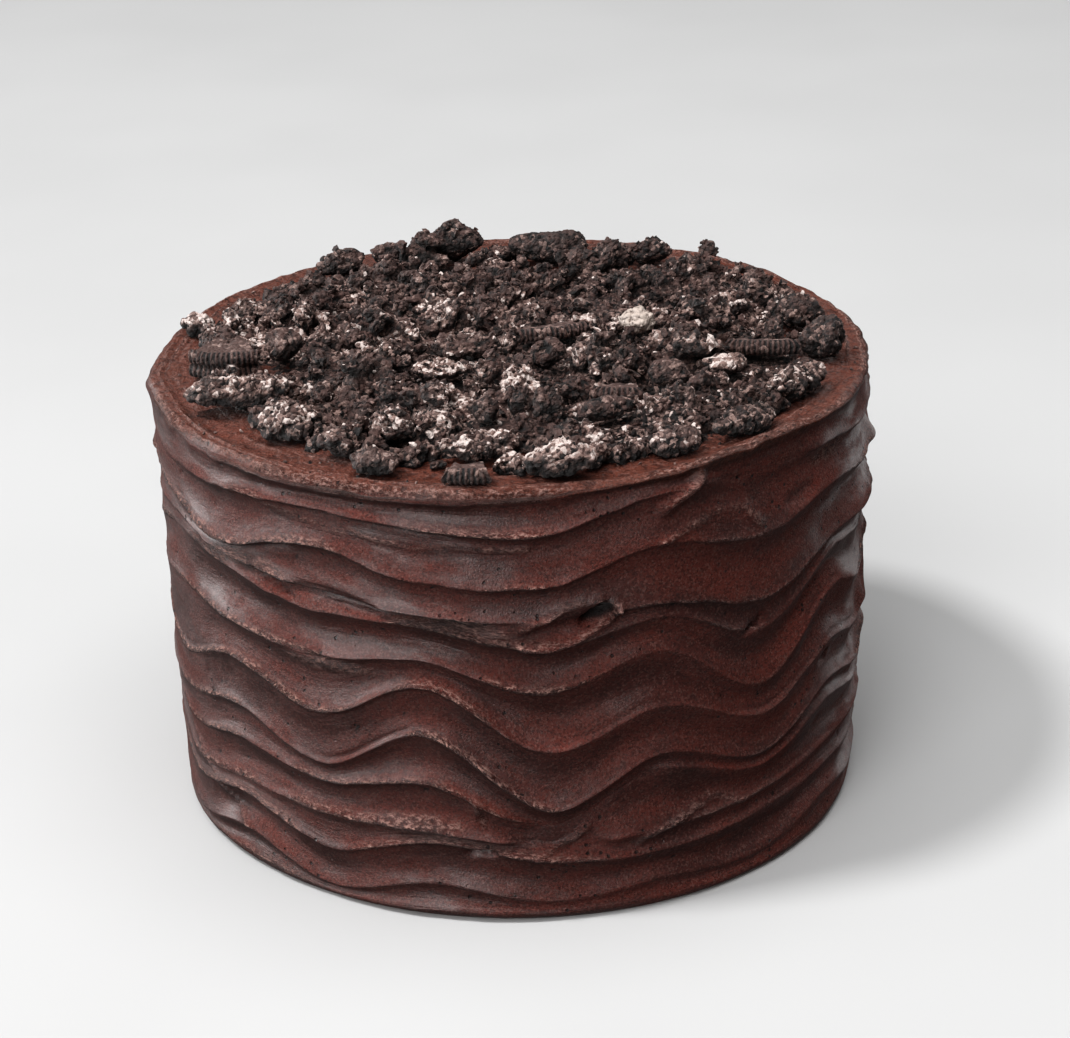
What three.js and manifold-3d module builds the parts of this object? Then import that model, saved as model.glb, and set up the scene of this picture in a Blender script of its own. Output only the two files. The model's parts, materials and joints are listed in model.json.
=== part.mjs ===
// A round chocolate cake under buttercream that was drawn round it with a palette knife in waves.
// Crushed cocoa sandwich cookies are heaped on its flat top.
// Millimetres, +Z up. The origin is the middle of the base, and the front of the cake faces -Y.
// Angles round the cake are degrees from the front, growing towards +X.
import * as THREE from "three";
import { mergeVertices } from "three/addons/utils/BufferGeometryUtils.js";
import Module from "manifold-3d";

// Cake
const BASE_RADIUS = 100.6; // of the crests at the foot
const TOP_RADIUS = 102.7; // of the crests at the rim
const TOP_LEVEL = 129; // height of the flat top
const FOOT_INSET = 1.4; // how far the foot is drawn in where it meets the table
const BASE_WOBBLE = 1; // three slight bulges of the foot, fading out towards the rim
const BASE_WOBBLE_ANGLE = 42;
const COLUMNS = 84; // grid columns round the side

// Rim
const RIM_SLOPE = 3.4; // width of the sloping shoulder inside the rim's edge
const RIM_RISE = 0.4; // height of the shoulder above the flat top
const RIM_INNER = 8; // how far inside the edge the top is flat

// Knife waves: each crest turns from trough to peak and back every TURN degrees
const TURN = 18;
const FIRST_TURN = -86;
const TURNS_ROUND = 360 / TURN;
const CREST_GAP = 2.4; // least height between two crests
const CREST_LIFT = 0.5; // how far a crest stands out, on average
const CHANNEL_SHARE = 0.2; // depth of a channel as a share of its height
const CHANNEL_DEPTH = 2.9; // deepest channel
const FADED_LIFT = -1.9; // where a crest has run out, it lies this far back

// Heap of crumbs
const CLEARANCE = 0.3; // gap between touching pieces
const NEST_MARGIN = 0.5; // how much larger than a piece its nest in the heap is, all round
const HEAP_RADIUS = 89;
const HEAP_WANDER = 3.5; // how far the heap's edge wanders in and out
const HEAP_BACK_GAP = 2.5; // how much further in its edge lies at the back
const EDGE_LOBES = 9; // roughness of the edge: steps of wandering round half of it
const HEAP_COLUMNS = 52;
const HEAP_RINGS = 13;
const BED_HEIGHT = 4.8; // of the bed of fine crumbs, on average
const BED_EDGE = 0.45; // share of its height at the outer edge
const CLUMP_SPACING = 15; // the bed lies in clumps of about this size
const CLUMP_HEIGHT = 3.6;
const LUMP_SPACING = 7.5; // and in lumps of this size on them
const LUMP_HEIGHT = 4.4;
const PRESS_MARGIN = 1.5; // how far round a large piece the bed is pressed down under it
const PRESS_SLOPE = 0.5; // and how far it takes to rise again, as a share of that reach
const CRUMBS = 78; // loose crumbs set into the bed
const CRUMB_JITTER = 14; // degrees that they stray from an even spread
const CRUMB_SMALLEST = 6.5;
const CRUMB_LARGEST = 13;
const CRUMB_SINK = 0.45; // share of a crumb's height that is below the bed
const GOLDEN_ANGLE = 137.508;

// Cookies that the heap was broken from
const BREAKS = 6; // sides that a lump was struck flat on
const ROUGHNESS = 0.12; // of a lump's faces, as a share of its radius
const COOKIE_RADIUS = 22.5;
const NOTCH_PITCH = 2.2;
const NOTCH_DEPTH = 0.7;

// Crests from the foot up. turns holds the heights at which each one turns across the front,
// and rows is the number of grid rows in the channel above it.
const CRESTS = [
  { name: "foot", rows: 1, turns: [3, 3, 3.5, 2.5, 3.5, 3, 3, 2.5, 3, 3] },
  { name: "low swell", rows: 2, turns: [10, 5.5, 12, 5, 11.5, 6.5, 9, 6.5, 11, 6.5] },
  { name: "low wave", rows: 1, turns: [23, 17.5, 24, 17.4, 25, 19.6, 18.2, 19.5, 20.5, 18] },
  { name: "low burr", rows: 2, turns: [30, 24, 28, 28, 28.2, 24.5, 25, 25.5, 28, 26] },
  { name: "short wave", rows: 1, turns: [40, 35, 41.5, 38.3, 42.6, 30, 43, 34.8, 42, 35] },
  { name: "tufted wave", rows: 2, turns: [50, 45, 52, 44, 58, 35.8, 48.3, 38.4, 48.5, 41] },
  { name: "great wave", rows: 2, turns: [66, 57, 67.5, 60, 72.6, 54, 63, 51, 60, 54] },
  { name: "middle wave", rows: 2, turns: [76, 80, 78.5, 77.3, 80.2, 71, 79.5, 60.3, 76.5, 68] },
  { name: "torn lip", rows: 1, turns: [88, 96, 95.5, 91.5, 90.8, 84.5, 89.5, 77, 88, 84] },
  { name: "lens edge", rows: 2, turns: [96, 101, 99, 96.7, 94.4, 92.5, 93.8, 86, 92, 91] },
  { name: "upper wave", rows: 2, turns: [107, 106.5, 102.6, 110, 103.8, 102.7, 110.5, 104.5, 108.5, 103] },
  { name: "neck", rows: 1, turns: [119, 117, 119, 120.5, 119, 117.2, 125, 122, 121, 117] },
  { name: "rim", rows: 0, turns: [127, 127.5, 127, 126.5, 126.3, 127.3, 129.5, 131, 129, 127.5] },
];

// Stretches where a crest runs out into the channel, from angle to angle
const FADES = [
  { crest: "neck", from: 28, to: 56 },
  { crest: "short wave", from: -4, to: 26 },
  { crest: "low burr", from: -4, to: 15 },
];

// Places where a crest was pulled out into a tuft
const TUFTS = [
  { crest: "lens edge", angle: 77, lift: 2.2, spread: 9 },
  { crest: "upper wave", angle: -84, lift: 1.6, spread: 7 },
  { crest: "tufted wave", angle: -12, lift: 1, spread: 5 },
  { crest: "great wave", angle: 140, lift: 1.5, spread: 8 },
  { crest: "middle wave", angle: 215, lift: 1.6, spread: 9 },
];

// The large pieces on the heap. at is the middle in plan, rise the height of the underside above
// the top of the cake, size the length, depth and height, turn the angle of the length in plan.
const LUMPS = [
  { name: "cookie_chunk_left_edge", at: [-92, 21], rise: 0.5, size: [10, 9, 6.5], turn: 20 },
  { name: "cookie_chunk_left_back", at: [-78.5, 29], rise: 0.6, size: [13, 10, 6.5], turn: -15 },
  { name: "cookie_chunk_left_long", at: [-74, -41], rise: 3, size: [30, 11, 7.5], turn: 8 },
  { name: "cookie_chunk_left_oval", at: [-63.8, -8.5], rise: 2.6, size: [11, 12.5, 8.5], turn: 0 },
  { name: "cookie_chunk_front_left", at: [-58.5, -61], rise: 0.5, size: [15.5, 13, 9], turn: -30 },
  { name: "cookie_chunk_front_a", at: [-44.5, -76], rise: 0.5, size: [12, 11.5, 8.5], turn: 10 },
  { name: "cookie_chunk_front_b", at: [-30.5, -70], rise: 2.6, size: [12, 13, 8], turn: 40 },
  { name: "cookie_chunk_front_c", at: [-34.5, -87], rise: 0.5, size: [13, 10, 7], turn: -20 },
  { name: "cookie_chunk_front_d", at: [-8, -81.5], rise: 0.6, size: [21, 9, 7.5], turn: 4 },
  { name: "cookie_chunk_front_e", at: [12.6, -93.5], rise: 0.5, size: [18.5, 9.5, 8.5], turn: -6 },
  { name: "cookie_chunk_front_f", at: [43, -80], rise: 0.5, size: [13.5, 8.5, 6.5], turn: 16 },
  { name: "cookie_chunk_front_right", at: [62, -69], rise: 0.5, size: [22, 9, 7], turn: 38 },
  { name: "cookie_chunk_right_long", at: [79, -43], rise: 0.6, size: [24, 8.5, 7.5], turn: 50 },
  { name: "cookie_chunk_right_edge", at: [88.5, -14], rise: 0.6, size: [13, 14, 11], turn: 0 },
  { name: "cookie_chunk_right_back", at: [83, 9], rise: 0.8, size: [17, 13, 9.5], turn: -12 },
  { name: "cookie_chunk_right_flat", at: [59.5, -33], rise: 4, size: [13, 8.5, 5], turn: 8 },
  { name: "cookie_chunk_right_grey", at: [44, -40], rise: 2.8, size: [12, 10, 7.5], turn: -8 },
  { name: "cookie_chunk_dark_arc", at: [25.5, -61.5], rise: 2.8, size: [17, 7.5, 6], turn: 16 },
  { name: "cookie_chunk_knob", at: [11, -21], rise: 3, size: [9.5, 9.5, 8.5], turn: 0 },
  { name: "cookie_chunk_flat_long", at: [-12, -15], rise: 4, size: [20, 9, 5.5], turn: 4 },
  { name: "cookie_chunk_pale_flat", at: [-18.5, -30], rise: 3.4, size: [17, 9, 5.5], turn: 3 },
  { name: "cookie_chunk_pale_middle", at: [3, -41.5], rise: 3, size: [11.5, 9.5, 7], turn: -18 },
  { name: "cookie_chunk_back_peak", at: [-16.5, 80], rise: 0.6, size: [18, 13, 13.5], turn: 0, peak: 0.75 },
  { name: "cookie_chunk_back_block", at: [12.8, 75], rise: 0.6, size: [25, 13, 10.5], turn: -3 },
  { name: "cookie_chunk_back_right", at: [44.5, 70], rise: 0.6, size: [14.5, 11, 9], turn: -20, peak: 0.6 },
  { name: "cookie_chunk_back_left", at: [-52.5, 68.5], rise: 0.6, size: [14.5, 11, 8], turn: 30 },
  { name: "cookie_chunk_back_low", at: [-37, 79], rise: 0.6, size: [12.5, 9, 7], turn: 12 },
  { name: "cream_lump", at: [37, 2], rise: 3.2, size: [11, 9, 7.5], turn: -25, cream: true },
];

// Pieces of wafer that keep some of the cookie's notched edge, which faces the front before the turn
const WAFERS = [
  { name: "wafer_piece_left", at: [-80, -13], rise: 0.8, size: [20, 14, 8.5], turn: -6, tilt: 4 },
  { name: "wafer_piece_right", at: [71.5, -19], rise: 3.6, size: [21, 9, 4.5], turn: -6, tilt: -12 },
  { name: "wafer_piece_middle", at: [12.5, -2], rise: 4, size: [21, 9, 4], turn: 14, tilt: -10 },
  { name: "wafer_piece_small", at: [29.5, -49.5], rise: 3.4, size: [14, 8, 4], turn: -8, tilt: -8 },
  { name: "wafer_piece_front", at: [-11, -97], rise: 0.9, size: [12, 6.5, 4.5], turn: -5, tilt: 0 },
];

// Finishes
const FROSTING = { color: 0x3a211d, roughness: 0.42, metalness: 0 };
const CRUMB = { color: 0x2a201e, roughness: 0.85, metalness: 0 };
const COOKIE = { color: 0x1f1817, roughness: 0.8, metalness: 0 };
const CREAM = { color: 0xc9b8ab, roughness: 0.7, metalness: 0 };

const wasm = await Module();
wasm.setup();

const mix = (a, b, t) => a + (b - a) * t;
const clamp = (x, low, high) => Math.min(high, Math.max(low, x));
const smooth = (t) => t * t * (3 - 2 * t);
const radians = THREE.MathUtils.degToRad;

// A settled random number from 0 to 1 for each pair of numbers.
function lot(a, b) {
  const wave = Math.sin(a * 12.9898 + b * 78.233) * 43758.5453;
  return wave - Math.floor(wave);
}

// Gentle bumps from 0 to 1 over the plane, one to each cell of the given spacing.
function bumps(x, y, spacing) {
  const u = x / spacing;
  const v = y / spacing;
  const i = Math.floor(u);
  const j = Math.floor(v);
  const s = smooth(u - i);
  const t = smooth(v - j);
  return mix(mix(lot(i, j), lot(i + 1, j), s), mix(lot(i, j + 1), lot(i + 1, j + 1), s), t);
}

// Difference between two angles in degrees, from -180 to 180.
function apart(a, b) {
  return THREE.MathUtils.euclideanModulo(a - b + 180, 360) - 180;
}

// Heights at which a crest turns, all the way round: the front as seen, and behind it the same
// swing about the same level, each turn a little different.
function turnsRound(crest, index) {
  const front = crest.turns;
  const level = front.reduce((sum, z) => sum + z, 0) / front.length;
  const changes = front.slice(1).map((z, i) => Math.abs(z - front[i]));
  const swing = changes.reduce((sum, change) => sum + change, 0) / (2 * changes.length);
  const round = [...front];
  for (let i = front.length; i < TURNS_ROUND; i++) {
    const side = i % 2 ? -1 : 1;
    round.push(level + side * swing * mix(0.6, 1.3, lot(index, i)));
  }
  return round;
}

const TURN_HEIGHTS = CRESTS.map(turnsRound);

// Height of one crest at an angle, on a smooth line through its turns.
function crestLine(index, angle) {
  const turns = TURN_HEIGHTS[index];
  const place = THREE.MathUtils.euclideanModulo((angle - FIRST_TURN) / TURN, TURNS_ROUND);
  const i = Math.floor(place);
  const t = place - i;
  const [a, b, c, d] = [-1, 0, 1, 2].map((step) => turns[(i + step + TURNS_ROUND) % TURNS_ROUND]);
  return b + 0.5 * t * (c - a + t * (2 * a - 5 * b + 4 * c - d + t * (3 * (b - c) + d - a)));
}

// Heights of all crests at an angle, in order and never closer than the least gap.
function crestHeights(angle) {
  const heights = CRESTS.map((_, index) => crestLine(index, angle));
  for (let k = 1; k < heights.length; k++) {
    heights[k] = Math.max(heights[k], heights[k - 1] + CREST_GAP);
  }
  for (let k = heights.length - 2; k >= 0; k--) {
    heights[k] = Math.min(heights[k], heights[k + 1] - CREST_GAP);
  }
  return heights;
}

// 1 where a crest stands, falling to 0 where it has run out.
function crestStrength(index, angle) {
  let strength = 1;
  for (const fade of FADES) {
    if (fade.crest !== CRESTS[index].name) continue;
    const half = (fade.to - fade.from) / 2;
    const offset = Math.abs(apart(angle, fade.from + half)) / half;
    strength = Math.min(strength, smooth(clamp(2 * offset - 1, 0, 1)));
  }
  return strength;
}

// How far a crest stands out from the body of the cake.
function crestLift(index, angle) {
  const along = THREE.MathUtils.euclideanModulo(angle, 360) / TURN;
  const i = Math.floor(along);
  const chance = mix(lot(index + 31, i), lot(index + 31, (i + 1) % TURNS_ROUND), smooth(along - i));
  let lift = mix(FADED_LIFT, CREST_LIFT * mix(0.3, 1.7, chance), crestStrength(index, angle));
  for (const tuft of TUFTS) {
    if (tuft.crest !== CRESTS[index].name) continue;
    lift += tuft.lift * Math.exp(-((apart(angle, tuft.angle) / tuft.spread) ** 2));
  }
  return lift;
}

// Radius of the body of the cake, without its waves.
function bodyRadius(angle, z) {
  const up = clamp(z / TOP_LEVEL, 0, 1);
  const wobble = BASE_WOBBLE * (1 - up) * Math.cos(3 * radians(angle - BASE_WOBBLE_ANGLE));
  return mix(BASE_RADIUS, TOP_RADIUS, up) + wobble;
}

// A point on the side, as radius and height: part way up the channel above a crest.
function sidePoint(angle, heights, index, t) {
  const above = Math.min(index + 1, CRESTS.length - 1);
  const z = mix(heights[index], heights[above], t);
  const lift = mix(crestLift(index, angle), crestLift(above, angle), t);
  const strength = (crestStrength(index, angle) + crestStrength(above, angle)) / 2;
  const depth = strength * Math.min(CHANNEL_DEPTH, CHANNEL_SHARE * (heights[above] - heights[index]));
  return [bodyRadius(angle, z) + lift - depth * 4 * t * (1 - t), z];
}

// Grid rows of the whole outside from the middle of the base to the middle of the top. Each is a
// function that gives radius and height at an angle, from the crest heights there.
function cakeRows() {
  const rim = CRESTS.length - 1;
  const edge = (angle, heights) => sidePoint(angle, heights, rim, 0);
  const rows = [() => [0, 0], (angle) => [bodyRadius(angle, 0) - FOOT_INSET, 0]];
  CRESTS.forEach((crest, index) => {
    for (let step = 0; step <= crest.rows; step++) {
      rows.push((angle, heights) => sidePoint(angle, heights, index, step / (crest.rows + 1)));
    }
  });
  rows.push((angle, heights) => {
    const [radius, z] = edge(angle, heights);
    return [radius - RIM_SLOPE, Math.max(TOP_LEVEL + RIM_RISE, z + RIM_RISE)];
  });
  rows.push((angle, heights) => [edge(angle, heights)[0] - RIM_INNER, TOP_LEVEL]);
  rows.push(() => [0, TOP_LEVEL]);
  return rows;
}

// A closed body of revolution whose rows each follow a function of the angle.
function turnedBody(rows, columns, shared = () => null) {
  const profile = rows.map((_, j) => new THREE.Vector2(j === 0 || j === rows.length - 1 ? 0 : 1, j));
  const body = new THREE.LatheGeometry(profile, columns);
  const spots = body.getAttribute("position");
  for (let i = 0; i <= columns; i++) {
    const angle = (360 * (i % columns)) / columns;
    const known = shared(angle);
    rows.forEach((row, j) => {
      const [radius, z] = row(angle, known);
      const turn = radians(angle);
      spots.setXYZ(i * rows.length + j, radius * Math.sin(turn), -radius * Math.cos(turn), z);
    });
  }
  return body;
}

// The same geometry with shared corners merged and nothing but positions left.
function bare(geometry) {
  const copy = geometry.clone();
  copy.deleteAttribute("normal");
  copy.deleteAttribute("uv");
  return mergeVertices(copy, 1e-4);
}

function solidOf(geometry) {
  const merged = bare(geometry);
  const vertProperties = merged.getAttribute("position").array;
  return new wasm.Manifold(new wasm.Mesh({ numProp: 3, vertProperties, triVerts: merged.index.array }));
}

function geometryOf(solid) {
  const { vertProperties, triVerts } = solid.getMesh();
  const geometry = new THREE.BufferGeometry();
  geometry.setAttribute("position", new THREE.BufferAttribute(vertProperties, 3));
  geometry.setIndex(new THREE.BufferAttribute(triVerts, 1));
  geometry.computeVertexNormals();
  return geometry;
}

// Centres a geometry on the origin and stretches it to the given length, depth and height.
function fitTo(geometry, size) {
  geometry.computeBoundingBox();
  const middle = geometry.boundingBox.getCenter(new THREE.Vector3());
  const now = geometry.boundingBox.getSize(new THREE.Vector3());
  geometry.translate(-middle.x, -middle.y, -middle.z);
  geometry.scale(size[0] / now.x, size[1] / now.y, size[2] / now.z);
  return geometry;
}

// A lump of broken cookie: a ball of flat faces, struck flat on a few sides and roughened. A
// peak draws its upper part together.
function brokenLump({ size, peak = 0 }, seed, detail = 1) {
  const lump = bare(new THREE.IcosahedronGeometry(1, detail));
  const spots = lump.getAttribute("position");
  const breaks = Array.from({ length: BREAKS }, (_, side) => {
    const down = Math.PI * mix(0.15, 0.85, lot(seed, side));
    const round = 2 * Math.PI * lot(seed + 7, side);
    const face = new THREE.Vector3().setFromSphericalCoords(1, down, round);
    return { face, reach: mix(0.55, 0.85, lot(seed + 13, side)) };
  });
  const spot = new THREE.Vector3();
  for (let i = 0; i < spots.count; i++) {
    spot.fromBufferAttribute(spots, i);
    for (const { face, reach } of breaks) {
      spot.addScaledVector(face, -Math.max(0, spot.dot(face) - reach));
    }
    spot.multiplyScalar(1 + ROUGHNESS * (2 * lot(seed + 19, i) - 1));
    const drawn = 1 - peak * Math.max(0, spot.z);
    spots.setXYZ(i, spot.x * drawn, spot.y * drawn, spot.z);
  }
  return fitTo(lump, size);
}

// A broken piece of wafer: its front follows the cookie's notched edge, the rest is jagged.
function waferPiece({ size }, seed, notch = NOTCH_DEPTH) {
  const [length, depth, thickness] = size;
  const half = Math.asin(length / (2 * COOKIE_RADIUS));
  const teeth = Math.round((2 * half * COOKIE_RADIUS) / NOTCH_PITCH);
  const outline = [];
  for (let i = 0; i <= 2 * teeth; i++) {
    const angle = mix(-half, half, i / (2 * teeth));
    const radius = COOKIE_RADIUS - (i % 2 ? notch : 0);
    outline.push(new THREE.Vector2(radius * Math.sin(angle), -radius * Math.cos(angle)));
  }
  const back = depth - COOKIE_RADIUS;
  [0.42, 0.2, -0.05, -0.3].forEach((share, i) => {
    outline.push(new THREE.Vector2(length * share, back - 0.3 * depth * lot(seed, i)));
  });
  const settings = { depth: thickness, bevelEnabled: false };
  return fitTo(new THREE.ExtrudeGeometry(new THREE.Shape(outline), settings), size);
}

// Puts a piece in its place on the heap.
function placed(geometry, { at, rise, size, turn, tilt = 0 }) {
  geometry.rotateX(radians(tilt));
  geometry.rotateZ(radians(turn));
  return geometry.translate(at[0], at[1], TOP_LEVEL + CLEARANCE + rise + size[2] / 2);
}

// The same piece grown all round, to cut its nest in the heap.
function grown(piece) {
  return { ...piece, size: piece.size.map((side) => side + 2 * NEST_MARGIN) };
}

// How far the bed of crumbs reaches and how high it lies.
function bedRadius(angle) {
  const x = Math.sin(radians(angle));
  const y = -Math.cos(radians(angle));
  const wander = 2 * bumps(EDGE_LOBES * x, EDGE_LOBES * y, 2) - 1;
  return HEAP_RADIUS + HEAP_WANDER * wander - HEAP_BACK_GAP * Math.max(0, y);
}

// The bed is pressed down under each large piece, which then lies on it.
function bedHeight(x, y) {
  const clumps = CLUMP_HEIGHT * (bumps(x, y, CLUMP_SPACING) - 0.5);
  const lumps = LUMP_HEIGHT * (bumps(x + 50, y, LUMP_SPACING) - 0.5);
  let height = BED_HEIGHT + clumps + lumps;
  for (const piece of [...LUMPS, ...WAFERS]) {
    const away = new THREE.Vector2(x - piece.at[0], y - piece.at[1]);
    away.rotateAround(new THREE.Vector2(), -radians(piece.turn));
    const along = away.x / (piece.size[0] / 2 + PRESS_MARGIN);
    const across = away.y / (piece.size[1] / 2 + PRESS_MARGIN);
    const pressed = 1 - smooth(clamp((Math.hypot(along, across) - 1) / PRESS_SLOPE, 0, 1));
    height = mix(height, Math.min(height, Math.max(piece.rise - CLEARANCE, CLEARANCE)), pressed);
  }
  return height;
}

// The bed of fine crumbs, flat underneath.
function crumbBed() {
  const floor = TOP_LEVEL + CLEARANCE;
  const rows = [() => [0, floor], (angle) => [bedRadius(angle), floor]];
  for (let ring = HEAP_RINGS; ring > 0; ring--) {
    const share = ring / (HEAP_RINGS + 0.2);
    const fullness = ring === HEAP_RINGS ? BED_EDGE : 1;
    rows.push((angle) => {
      const radius = share * bedRadius(angle);
      const height = bedHeight(radius * Math.sin(radians(angle)), -radius * Math.cos(radians(angle)));
      return [radius, floor + height * fullness];
    });
  }
  rows.push(() => [0, floor + bedHeight(0, 0)]);
  return turnedBody(rows, HEAP_COLUMNS);
}

// Crumbs spread over the bed on a sunflower's spiral, where no large piece lies.
function looseCrumbs(pieces) {
  const crumbs = [];
  for (let i = 0; i < CRUMBS; i++) {
    const angle = radians(GOLDEN_ANGLE * i + CRUMB_JITTER * lot(i, 1));
    const radius = (HEAP_RADIUS - 1) * Math.sqrt((i + 0.5) / CRUMBS);
    const at = [radius * Math.sin(angle), -radius * Math.cos(angle)];
    const width = mix(CRUMB_SMALLEST, CRUMB_LARGEST, lot(i, 2));
    const size = [width, width * mix(0.65, 0.95, lot(i, 3)), width * mix(0.5, 0.75, lot(i, 4))];
    const crowded = pieces.some((piece) => {
      const reach = 0.45 * Math.max(piece.size[0], piece.size[1]) + 0.4 * width;
      return Math.hypot(at[0] - piece.at[0], at[1] - piece.at[1]) < reach;
    });
    if (crowded) continue;
    const rise = Math.max(0, bedHeight(...at) - CRUMB_SINK * size[2]);
    crumbs.push(placed(brokenLump({ size }, 100 + i, 0), { at, rise, size, turn: 360 * lot(i, 5) }));
  }
  return crumbs;
}

// The heap: bed and crumbs in one, with a nest cut out where a large piece would touch it.
function crumbHeap() {
  let heap = solidOf(crumbBed());
  for (const crumb of looseCrumbs([...LUMPS, ...WAFERS])) {
    heap = heap.add(solidOf(crumb));
  }
  LUMPS.forEach((lump, i) => {
    heap = heap.subtract(solidOf(placed(brokenLump(grown(lump), i), lump)));
  });
  WAFERS.forEach((wafer, i) => {
    heap = heap.subtract(solidOf(placed(waferPiece(grown(wafer), i, 0), wafer)));
  });
  const parts = heap.decompose();
  return parts.reduce((largest, part) => (part.volume() > largest.volume() ? part : largest));
}

const cake = new THREE.Group();

// Puts a named mesh of one material into the cake.
function addPiece(name, geometry, finish) {
  const mesh = new THREE.Mesh(geometry, new THREE.MeshStandardMaterial({ ...finish, flatShading: true }));
  mesh.name = name;
  cake.add(mesh);
}

addPiece("frosted_cake", turnedBody(cakeRows(), COLUMNS, crestHeights), FROSTING);
addPiece("crumb_heap", geometryOf(crumbHeap()), CRUMB);
LUMPS.forEach((lump, i) => {
  addPiece(lump.name, placed(brokenLump(lump, i), lump), lump.cream ? CREAM : COOKIE);
});
WAFERS.forEach((wafer, i) => {
  addPiece(wafer.name, placed(waferPiece(wafer, i), wafer), COOKIE);
});

export default cake;
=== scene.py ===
"""Looks of a round chocolate cake: buttercream drawn into waves, under a heap of crushed cookies.

Lengths in the constants below are millimetres and angles are degrees from the front of the cake,
growing towards +X, as in the frame that the script loads. Meshes are written in metres.
"""

import itertools
import json
import math

import bmesh
import bpy
import numpy as np
from bpy.props import FloatProperty, FloatVectorProperty
from mathutils import Matrix, Vector
from mathutils.bvhtree import BVHTree

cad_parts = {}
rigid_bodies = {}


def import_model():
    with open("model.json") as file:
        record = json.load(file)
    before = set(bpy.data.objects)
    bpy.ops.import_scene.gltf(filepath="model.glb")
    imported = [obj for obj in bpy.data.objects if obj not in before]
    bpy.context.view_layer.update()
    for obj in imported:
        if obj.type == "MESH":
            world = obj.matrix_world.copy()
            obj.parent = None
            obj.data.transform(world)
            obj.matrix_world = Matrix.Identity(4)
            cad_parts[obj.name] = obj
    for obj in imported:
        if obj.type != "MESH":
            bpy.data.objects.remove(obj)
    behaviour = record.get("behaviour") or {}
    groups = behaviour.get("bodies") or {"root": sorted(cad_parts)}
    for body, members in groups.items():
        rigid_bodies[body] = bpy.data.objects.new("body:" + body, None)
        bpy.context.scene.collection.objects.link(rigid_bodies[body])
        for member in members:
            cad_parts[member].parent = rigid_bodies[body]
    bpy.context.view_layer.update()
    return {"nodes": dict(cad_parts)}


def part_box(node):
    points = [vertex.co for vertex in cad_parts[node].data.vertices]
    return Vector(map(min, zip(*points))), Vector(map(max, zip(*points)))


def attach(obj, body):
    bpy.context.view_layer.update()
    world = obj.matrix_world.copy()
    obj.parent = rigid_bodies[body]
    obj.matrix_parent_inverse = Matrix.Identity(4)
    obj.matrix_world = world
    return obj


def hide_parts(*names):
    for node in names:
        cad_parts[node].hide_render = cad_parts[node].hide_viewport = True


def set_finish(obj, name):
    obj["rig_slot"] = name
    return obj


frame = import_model()

bl_info = {
    "name": "Chocolate cookie cake",
    "version": (1, 0, 0),
    "blender": (4, 5, 0),
    "location": "View3D > Sidebar > Cake",
    "description": "Buttercream, crushed cookies and a studio for a round chocolate cake",
    "category": "Mesh",
}

MM = 0.001

# The body of the cake
BASE_RADIUS = 100.6
TOP_RADIUS = 102.7
TOP_LEVEL = 129.0
FOOT_INSET = 1.4
BASE_WOBBLE = 1.0  # how far the foot is out of round, in three swellings
BASE_WOBBLE_ANGLE = 42.0
RIM_SLOPE = 2.6  # width of the shoulder from the edge up to the rim
RIM_RISE = 0.4
RIM_INNER = 8.0  # how far in from the edge the rim has sunk to the flat top

# Its grid
COLUMNS = 660
ROW_SPACING = 1.02
ROW_CROWDING = 0.6  # how far the rows crowd together towards a crest
FOOT_ROWS = 3
TOP_STEPS = [  # distances in from the edge
    0.6, 1.2, 1.8, 2.4, 3, 3.6, 4.3, 5, 5.8, 6.6, 7.5, 8.5, 9.6, 10.8, 12, 13.5, 15, 17, 20, 25, 33, 45,
]

# Knife waves
TURN = 18.0  # degrees from one turn of a crest to the next
FIRST_TURN = -86.0
TURNS_ROUND = 20
CREST_GAP = 2.4  # least height between two crests
CREST_STEP = 9.0  # what the distance across the strokes grows by from crest to crest
CREST_LIFT = 0.5  # how far a crest stands out, and how far it lies back where it has run out
FADED_LIFT = -1.9
CHANNEL_SHARE = 0.2  # depth of a band as a share of its height, and its greatest depth
CHANNEL_DEPTH = 2.7
BAND_DEPTHS = (0.3, 1.35)  # that depth varies along a band by these shares
LEAST_ROWS = 5  # in a band
LIP_FADE = 1.9  # how far a lip takes to sink back into its band
BURR_WIDTH = 0.75  # of the torn thread of cream along a crest
TOP_ACROSS = 120  # the distance across the strokes where the top begins
TEAR_WIDTH = 1.6  # how far tearing reaches above a crest
TEAR_BELOW = 0.4  # and below it, as a share of that
CREST_WOBBLE = 0.55  # how far a torn crest strays up and down
# The cuts are darkened inside with painted shade
SLOT_DEPTH = 1.9  # of the dark cuts that the knife left under a lip
SLOT_WIDTH = 0.75
SLOT_OFFSET = 1.15  # how far from its crest such a cut lies
SLOT_SHARE = 0.35  # of a band's height, which no cut is deeper than

# Fine ridges that the knife left round the top: distance in from the edge, and height
RING_RIDGES = [(1.4, 0.4), (3.0, 0.5), (4.6, 0.4), (6.4, 0.45), (8.4, 0.35), (10.6, 0.35), (12.8, 0.3)]
RING_WIDTH = 0.6  # half the width of such a ridge

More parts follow.
